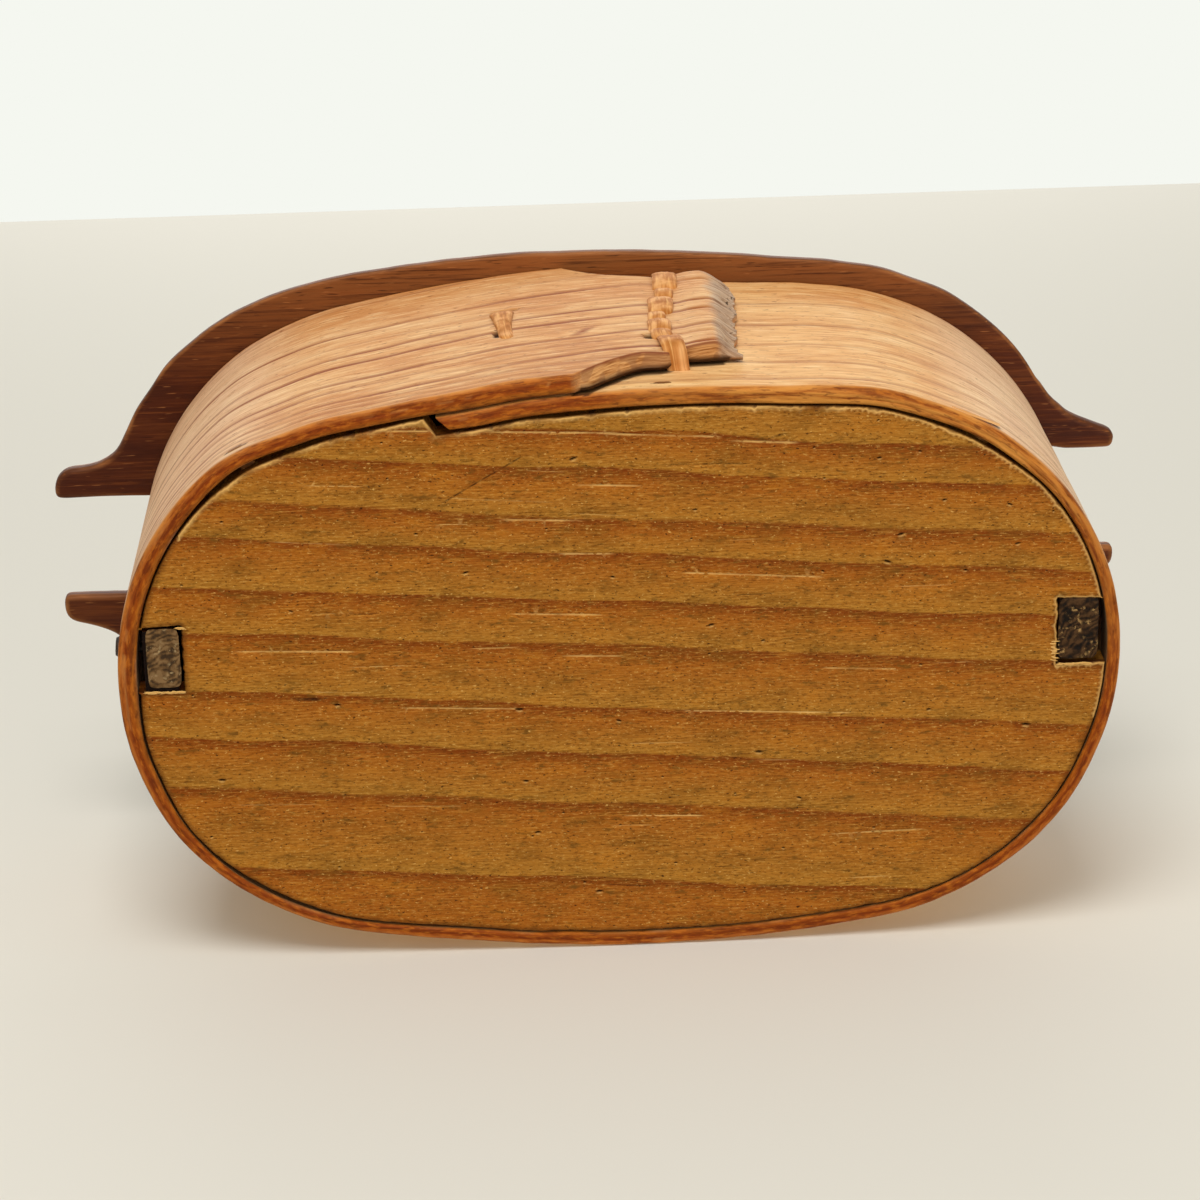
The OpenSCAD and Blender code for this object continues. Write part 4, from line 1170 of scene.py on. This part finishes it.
# Softens the knife-cut edges of a node that keeps its own shape, and gives it its material.
def dress(name, material, radius):
    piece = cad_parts[name]
    for holder in piece.material_slots:
        holder.link = "OBJECT"
        holder.material = material
    weld = piece.modifiers.new("weld", "WELD")
    weld.merge_threshold = 0.01 * mm
    bevel = piece.modifiers.new("roundedEdges", "BEVEL")
    bevel.width = radius * mm
    bevel.segments = 3
    bevel.angle_limit = math.radians(28)
    bevel.harden_normals = False
    bevel.miter_outer = "MITER_ARC"
    piece.modifiers.new("evenShading", "WEIGHTED_NORMAL").keep_sharp = True
    print(name, "dressed")


# The rim: its layers show as stripes along it, darkest a third of the way in, and golden along its right
# part, partly rubbed wear and partly painted highlight. Gives its colour, and the patches in which it is
# worn.
def rimColour(add, grain, axes, dashes):
    uneven = grain((7, 3, 0.35), 5.0, 0.7)
    patches = grain((16, 6, 1.2))
    spots = grain((3.0, 1.5, 0.8), 3.0)
    across = add("Math", uneven, 1.5, axes["Z"], operation="MULTIPLY_ADD")
    colour = add("ValToRGB", add("MapRange", across, -3.2, 0.9),
                 stops=[(0.0, "7E4210"), (0.22, "9C5614"), (0.42, "944406"), (0.6, "7E3204"),
                        (0.75, "9E480A"), (0.9, "A85A1C"), (1.0, "C28040")])
    colour = tint(add, patches, 0.5, 0.64, 0.7, colour, "6A2A04")
    colour = tint(add, spots, 0.5, 0.36, 0.6, colour, "C06A1A")
    colour = tint(add, spots, 0.56, 0.68, 0.45, colour, "5C2404")
    # golden along the right part of the rim: rubbed wear with a painted highlight
    rubbed = add("MapRange", axes["X"], 30.0, 60.0, 0.0, 1.0)
    rubbed = add("Math", rubbed, add("MapRange", axes["X"], 175.0, 118.0), operation="MULTIPLY")
    rubbed = add("Math", rubbed, add("MapRange", patches, 0.62, 0.42, 0.1, 0.9), operation="MULTIPLY")
    colour = add("Mix", rubbed, colour, "CC8638", data_type="RGBA")
    return tint(add, dashes, 0.58, 0.66, 0.55, colour, "5A2204"), patches


# The knot beside the lap, with a streak of dark wood running up from it.
def knotShare(add, place, dashes):
    knot = add("VectorMath", place, (knotAlong, bandShape["knot"][1], 0.0), operation="SUBTRACT")
    knot = add("VectorRotate", knot, rotation_type="Z_AXIS", Angle=-0.85)
    knot = add("VectorMath", knot, (0.24, 0.8, 0.0), operation="MULTIPLY")
    size = add("VectorMath", knot, operation="LENGTH", take="Value")
    size = add("Math", dashes, 1.6, size, operation="MULTIPLY_ADD")
    stops = [(0.0, 0.95), (0.3, 0.6), (0.6, 0.25), (0.85, 0.0)]
    return add("ValToRGB", add("MapRange", size, 0.75, 2.2), stops=stops)


# How dark a late-wood line is: sharp on its lower side, fading out above, here and there broken.
def lateWood(add, figure, tone, streaks):
    part = add("Math", figure["X"], operation="FRACT")
    above = add("Math", part, figure["Y"], operation="MULTIPLY")  # in mm from the line
    below = add("Math", figure["Y"], above, operation="SUBTRACT")
    sharpSide = add("MapRange", below, 0.6, 0.1, 0.0, 1.0)
    fadeSide = add("MapRange", above, 1.8, 0.0, 0.0, 0.75, interpolation_type="SMOOTHSTEP")
    late = add("Math", sharpSide, fadeSide, operation="MAXIMUM")
    broken = add("MapRange", streaks, 0.38, 0.62, 1.25, 0.55)
    late = add("Math", late, broken, operation="MULTIPLY")
    return add("Math", late, tone["X"], operation="MULTIPLY", use_clamp=True)


# Knife cuts show end grain: fresh wood with fine layers.
def cutColour(add, grain, axes):
    stops = [(0.34, "8E5626"), (0.46, "B47A44"), (0.6, "CE965C")]
    colour = add("ValToRGB", grain((5, 3, 0.3), 3.0), stops=stops)
    colour = tint(add, grain((4, 30, 4), 1.0), 0.5, 0.54, 0.55, colour, "8C5C38")
    return tint(add, axes["Z"], -0.8, -0.2, 0.8, colour, "7A3A22")


# Split and bent softwood worn bare. Its dark late-wood lines run round the band and part on the bends.
def bandMaterial():
    material, add = startMaterial("bentSoftwoodWornBare", Roughness=0.58, Specular_IOR_Level=0.1)
    place = add("Attribute", attribute_name="grain", take="Vector")
    worn = wearOf(add)
    arris = add("Attribute", attribute_name="wear", take="Alpha")
    axes = add("SeparateXYZ", place).node.outputs
    figure = add("SeparateXYZ", add("Attribute", attribute_name="figure", take="Vector")).node.outputs
    tone = add("SeparateXYZ", add("Attribute", attribute_name="tone", take="Vector")).node.outputs
    grain = partial(grainNoise, add, place)
    fibres = grain((9, 0.75, 0.8), 5.0, 0.7)
    dashes = grain((2.6, 0.6, 0.6), 2.0)
    streaks = grain((38, 2.2, 2.2))
    patches = grain((26, 11, 9))
    stops = [(0.32, "CC8C52"), (0.45, "DEA264"), (0.58, "E8B67A"), (0.72, "F2C892")]
    colour = add("ValToRGB", patches, stops=stops)
    colour = tint(add, axes["Y"], 38.0, 66.0, 0.5, colour, "D08848")  # warmer towards the lid
    paintedLightBesideTongue = add("MapRange", axes["X"], 45.0, 90.0, 0.55, 0.0)  # and lighter, golden beside the tongue: painted light where light falls on that part
    paintedLightBesideTongue = add("Math", paintedLightBesideTongue, add("MapRange", axes["X"], 20.0, 45.0), operation="MULTIPLY")
    colour = add("Mix", paintedLightBesideTongue, colour, "F2C688", data_type="RGBA")
    # pale tint on the end bends: partly bleached wear, partly painted sheen
    colour = stain(add, tone["Y"], 0.55, colour, "F0D0B0")
    colour = tint(add, axes["X"], 400.0, 440.0, 0.25, colour, "BC825C")  # the outer layer has darkened most
    colour = tint(add, streaks, 0.5, 0.64, 0.35, colour, "BC7A42")
    colour = tint(add, fibres, 0.5, 0.64, 0.45, colour, "AE6C34")
    colour = tint(add, fibres, 0.47, 0.34, 0.5, colour, "FADBA6")
    late = lateWood(add, figure, tone, streaks)
    colour = add("Mix", late, colour, "843A0C", data_type="RGBA")
    colour = tint(add, dashes, 0.63, 0.7, 0.7, colour, "7A4018")
    colour = add("Mix", knotShare(add, place, dashes), colour, "8A3A0C", data_type="RGBA")
    rim, rimPatches = rimColour(add, grain, axes, dashes)
    colour = add("Mix", worn["Red"], colour, rim, data_type="RGBA")
    # the arris lighter golden: rubbed wear with a painted highlight
    arris = add("Math", arris, add("MapRange", rimPatches, 0.6, 0.42, 0.0, 0.6), operation="MULTIPLY")
    colour = add("Mix", arris, colour, "D08A44", data_type="RGBA")
    colour = add("Mix", worn["Green"], colour, cutColour(add, grain, axes), data_type="RGBA")
    grey = add("ValToRGB", fibres, stops=[(0.36, "C4AA90"), (0.5, "AA8E74"), (0.62, "7E6450")])
    colour = stain(add, worn["Blue"], 0.85, colour, grey)
    # near-black painted shade and dirt in the holes, round the pegs, behind the board's edge and under the
    # tongue
    colour = stain(add, figure["Z"], 0.95, colour, "2A1206")
    relief = add("Math", late, -0.25, fibres, operation="MULTIPLY_ADD")
    relief = add("Math", dashes, -0.5, relief, operation="MULTIPLY_ADD")
    return finishMaterial(material, colour, relief, 0.7, 0.25)


# Planed, oiled pine: broad early wood, each late-wood line sharp on one side and fading on the other.
pineFigure = {
    "lines": [-50, -42, -32, -24.5, -14, -4.5, 8.5, 19, 30, 47],  # mm across the grain
    "skew": -0.08, "from": -62, "to": 64,
    "late": "762E02", "middle": "A45A16", "early": "AC7226",
}


def boardMaterial():
    material, add = startMaterial("planedPineOiled", Roughness=0.5, Specular_IOR_Level=0.06)
    place = placeInMm(add)
    axes = add("SeparateXYZ", place).node.outputs
    worn = wearOf(add)

    def grain(along, across, detail=4.0, roughness=0.7):
        return grainNoise(add, place, (along, across, 2), detail, roughness)

    drift = grain(60, 25, 2.0, 0.6)
    fibres = grain(7, 0.32, 5.0)
    clouds = grain(14, 5, 6.0, 0.65)
    grit = grain(1.3, 0.4)
    smudges = grain(4.5, 1.6)
    pits = grain(0.9, 0.55, 1.0, 0.6)
    across = add("Math", axes["X"], pineFigure["skew"], axes["Y"], operation="MULTIPLY_ADD")
    across = add("Math", drift, 4.0, across, operation="MULTIPLY_ADD")
    across = add("Math", fibres, 0.25, across, operation="MULTIPLY_ADD")
    first, last = pineFigure["from"], pineFigure["to"]
    stops = [(0.0, pineFigure["middle"])]
    for line in pineFigure["lines"]:
        at = (line - first) / (last - first)
        stops += [(at - 0.001, pineFigure["early"]), (at + 0.001, pineFigure["late"]),
                  (at + 0.024, pineFigure["middle"])]
    colour = add("ValToRGB", add("MapRange", across, first + 2.4, last + 2.4), stops=stops)
    for pattern, low, high, most, over in (
            (clouds, 0.5, 0.66, 0.6, "7A4C12"), (clouds, 0.47, 0.3, 0.6, "BA701C"),
            (fibres, 0.5, 0.62, 0.4, "84460A"), (fibres, 0.48, 0.36, 0.45, "C68834"),
            (grit, 0.55, 0.64, 0.75, "5A2E06"), (grit, 0.44, 0.32, 0.6, "D2A050"),
            (smudges, 0.56, 0.68, 0.75, "6A4412"),
            (pits, 0.68, 0.73, 0.85, "3A1A04"), (pits, 0.3, 0.26, 0.7, "DCA858")):
        colour = tint(add, pattern, low, high, most, colour, over)
    # Red darkens the face towards its chipped edge, Green lightens scratches, nicks and torn fibres, Blue
    # darkens dark scratches and dents and paints shade near-black on the board's side in the gap
    for name, most, over in (("Red", 0.6, "5A300A"), ("Green", 0.8, "E6B468"), ("Blue", 0.9, "220E02")):
        colour = stain(add, worn[name], most, colour, over)
    relief = add("Math", grit, 0.7, fibres, operation="MULTIPLY_ADD")
    return finishMaterial(material, colour, relief, 0.55, 0.15)


# Split spruce root: smooth, ridged along its length, with painted shade on its sides where it turns under and
# at its ends by the slits.
def rootMaterial():
    material, add = startMaterial("splitRootSmooth", Roughness=0.6, Specular_IOR_Level=0.08)
    place = add("Attribute", attribute_name="grain", take="Vector")
    worn = wearOf(add)
    ridges = grainNoise(add, place, (5, 0.5, 1), 3.0, 0.5)
    blush = grainNoise(add, place, (3, 2.5, 3), 2.0, 0.5)
    colour = add("ValToRGB", blush, stops=[(0.3, "A66428"), (0.48, "C48042"), (0.65, "DEA266")])
    colour = tint(add, ridges, 0.52, 0.66, 0.6, colour, "A05E22")
    colour = tint(add, ridges, 0.45, 0.32, 0.5, colour, "F0B872")
    # painted shade on the strap's sides and at its ends where it dives into the slits
    colour = stain(add, worn["Red"], 0.35, colour, "7A4216")
    colour = stain(add, worn["Green"], 0.5, colour, "7A3C10")
    return finishMaterial(material, colour, ridges, 0.5, 0.15)


# Stained wood gone red-brown: uneven and dark, its sides painted darker as shade, its edges rubbed lighter.
def stainedMaterial(name, dark, middle, light, rubbed, upright=False, hasWearAndSideShade=False, shine=0.12):
    material, add = startMaterial(name, Roughness=0.5, Specular_IOR_Level=shine)
    place = placeInMm(add)
    axes = add("SeparateXYZ", place).node.outputs

    def grain(along, across, detail):
        sizes = (across, across, along) if upright else (along, across, across)
        return grainNoise(add, place, sizes, detail, 0.65)

    fibres = grain(24, 0.7, 5.0)
    clouds = grain(48, 8, 4.0)
    dashes = grain(5, 0.5, 1.0)
    colour = add("ValToRGB", clouds, stops=[(0.36, dark), (0.5, middle), (0.64, light)])
    if hasWearAndSideShade:  # the seam side of the lid has been handled most, its ends least
        colour = tint(add, axes["Y"], -40.0, -64.0, 0.75, colour, "9A5C2C")
        colour = tint(add, add("Math", axes["X"], operation="ABSOLUTE"), 60.0, 92.0, 0.5, colour, dark)
    colour = tint(add, fibres, 0.5, 0.64, 0.7, colour, dark)
    colour = tint(add, fibres, 0.46, 0.34, 0.6, colour, light)
    colour = tint(add, dashes, 0.68, 0.76, 0.6, colour, rubbed)
    colour = tint(add, dashes, 0.34, 0.26, 0.7, colour, "2A0E04")
    facing = add("NewGeometry", take="Normal")
    facingUp = add("SeparateXYZ", facing).node.outputs["Z"]
    if hasWearAndSideShade:
        # the lid's sides, which face neither up nor down, painted darker: painted shade
        colour = tint(add, add("Math", facingUp, operation="ABSOLUTE"), 0.8, 0.3, 0.6, colour, dark)
        edge = wearOf(add)["Red"]
    else:
        rounded = add("VectorMath", add("Bevel", 0.8 * mm), facing, operation="DOT_PRODUCT", take="Value")
        edge = add("MapRange", rounded, 0.99, 0.88)
    edge = add("Math", edge, add("MapRange", clouds, 0.42, 0.6, 0.1, 0.7), operation="MULTIPLY")
    colour = add("Mix", edge, colour, rubbed, data_type="RGBA")
    if upright:  # the sawn end in the notch, painted near-black as shade so it reads as a dark gap
        facingDown = add("MapRange", facingUp, -0.5, -0.9)
        end = add("Math", facingDown, add("MapRange", axes["Z"], 1.6, 1.2), operation="MULTIPLY")
        colour = add("Mix", end, colour, "140A06", data_type="RGBA")
    return finishMaterial(material, colour, fibres, 0.5, 0.15)


# Sawn end grain: curved rings and open pores, dulled by dust.
def endGrainMaterial(name, dark, middle, light, flecks):
    material, add = startMaterial(name, Roughness=0.7, Specular_IOR_Level=0.1)
    place = placeInMm(add)
    axes = add("SeparateXYZ", place).node.outputs
    rings = add("Math", axes["X"], 0.55, axes["Y"], operation="MULTIPLY_ADD")
    rings = add("Math", add("TexNoise", place, Scale=0.14, Detail=2.0), 12.0, rings, operation="MULTIPLY_ADD")
    rings = add("Math", add("Math", rings, 4.2, operation="MULTIPLY"), operation="SINE")
    grit = add("TexNoise", place, Scale=0.42, Detail=5.0, Roughness=0.62)
    mixed = add("Math", rings, 0.07, grit, operation="MULTIPLY_ADD")
    colour = add("ValToRGB", mixed, stops=[(0.38, dark), (0.5, middle), (0.6, light)])
    specks = add("TexNoise", place, Scale=0.9, Detail=4.0, Roughness=0.7)
    fleck = add("Math", wearOf(add)["Green"], add("MapRange", specks, 0.53, 0.6), operation="MULTIPLY")
    colour = add("Mix", fleck, colour, flecks, data_type="RGBA")
    return finishMaterial(material, colour, mixed, 0.7, 0.3)


# Forged iron gone dark: rough, with a little brown rust in its hollows.
def ironMaterial():
    material, add = startMaterial("forgedIronRusted", Roughness=0.55, Metallic=0.6)
    pits = add("TexNoise", placeInMm(add), Scale=0.9, Detail=4.0)
    colour = add("ValToRGB", pits, stops=[(0.35, "1C1714"), (0.6, "3A2A20"), (0.75, "5A3A24")])
    return finishMaterial(material, colour, pits, 0.5, 0.15)


bandPiece = makeBand(bandMaterial())
makeBoard(boardMaterial())
root = rootMaterial()
makeLacing(root)
makeTack(root)
lidWood = stainedMaterial("stainedLidRubbed", "3E1808", "5C290E", "7A401A", "A86A38", hasWearAndSideShade=True)
handleWood = stainedMaterial("stainedHandleRubbed", "40180A", "5E2A10", "78401E", "A0643C")
postWood = stainedMaterial("stainedPostRubbed", "381808", "54280E", "6E3C1A", "9A6034",
                           upright=True, shine=0.04)
pegWood = stainedMaterial("splitPegTrimmed", "4A2810", "7C4A1E", "A87038", "B8824A")
makePegs(pegWood)
makeLid(lidWood)
makeFootEnd("leftFootEnd", endGrainMaterial("sawnEndGreyed", "3C2A18", "664828", "80603C", "A68A60"))
makeFootEnd("rightFootEnd", endGrainMaterial("sawnEndBlackened", "120A04", "33200F", "4E341C", "A8824E"))
for name, material, radius in (
        ("handle", handleWood, 1.0), ("left_post", postWood, 0.4), ("right_post", postWood, 0.4),
        ("handle_pegs", pegWood, 0.3), ("post_nails", ironMaterial(), 0.15)):
    dress(name, material, radius)


# Each stage plane is drawn for the camera only and on its front only, so the box can lie on one of
# them in the photograph's view and stand on the other in upright views.
stageShape = {
    "tableEnds": (-1.2, 0.72), "tableHalf": 2, "floorHalf": 3, "floorHeight": -0.0004,  # in metres
    "paper": "DDD8CD",
}


def makeStage(name, corners):
    mesh = bpy.data.meshes.new(name)
    mesh.from_pydata(corners, [], [(0, 1, 2, 3)])
    plane = bpy.data.objects.new(name, mesh)
    scene.collection.objects.link(plane)
    material, add = startMaterial(name + "Paper", Roughness=0.9, Specular_IOR_Level=0.1)
    tree = material.node_tree
    shader = tree.nodes["Principled BSDF"]
    shader.inputs["Base Color"].default_value = hexToLinear(stageShape["paper"])
    front = add("Math", 1.0, add("NewGeometry", take="Backfacing"), operation="SUBTRACT")
    seen = add("Math", add("LightPath", take="Is Camera Ray"), front, operation="MULTIPLY")
    mixed = add("MixShader", seen, add("BsdfTransparent"), shader.outputs["BSDF"])
    tree.links.new(mixed, tree.nodes["Material Output"].inputs["Surface"])
    mesh.materials.append(material)


lidLow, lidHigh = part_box("lid")
rimSide = max(v.co.y for v in bandPiece.data.vertices if v.co.z < 2 * mm)
slope = (lidHigh[1] - rimSide) / lidLow[2]


def restY(z):  # the lying box touches the table along its rim and its lid's edge
    return rimSide + slope * z


low, high = stageShape["tableEnds"]
half = stageShape["tableHalf"]
makeStage("tableTop", [(-half, restY(low), low), (half, restY(low), low),
                       (half, restY(high), high), (-half, restY(high), high)])
half, z = stageShape["floorHalf"], stageShape["floorHeight"]
makeStage("uprightFloor", [(-half, -half, z), (half, -half, z), (half, half, z), (-half, half, z)])

world = bpy.data.worlds.new("softRoom")
scene.world = world
world.use_nodes = True
add = partial(addNode, world.node_tree)
rays = add("LightPath", take="Is Camera Ray").node.outputs
shown = add("Math", rays["Is Camera Ray"], rays["Is Glossy Ray"], use_clamp=True)
shown = add("Math", shown, rays["Is Transmission Ray"], use_clamp=True)
room = add("Background", "F5F7F0", add("MapRange", shown, 0.0, 1.0, 0.5, 1.0))
world.node_tree.links.new(room, world.node_tree.nodes["World Output"].inputs["Surface"])

lamps = {  # place in metres, size and power
    "windowAbove": ((-0.15, -1.15, -0.5), 0.6, 10.5),
    "roomBefore": ((0.5, -0.2, -1.3), 1.0, 5.5),
    "roomBehind": ((0.6, 1.0, 0.8), 0.9, 5.0),
    "ceiling": ((0.0, -0.2, 1.2), 0.9, 6.0),
}
for name, (spot, size, power) in lamps.items():
    lamp = bpy.data.objects.new(name, bpy.data.lights.new(name, "AREA"))
    lamp.data.size = size
    lamp.data.energy = power
    lamp.location = spot
    lamp.rotation_euler = Vector(spot).to_track_quat("Z", "Y").to_euler()
    scene.collection.objects.link(lamp)
print("stage and lights set")
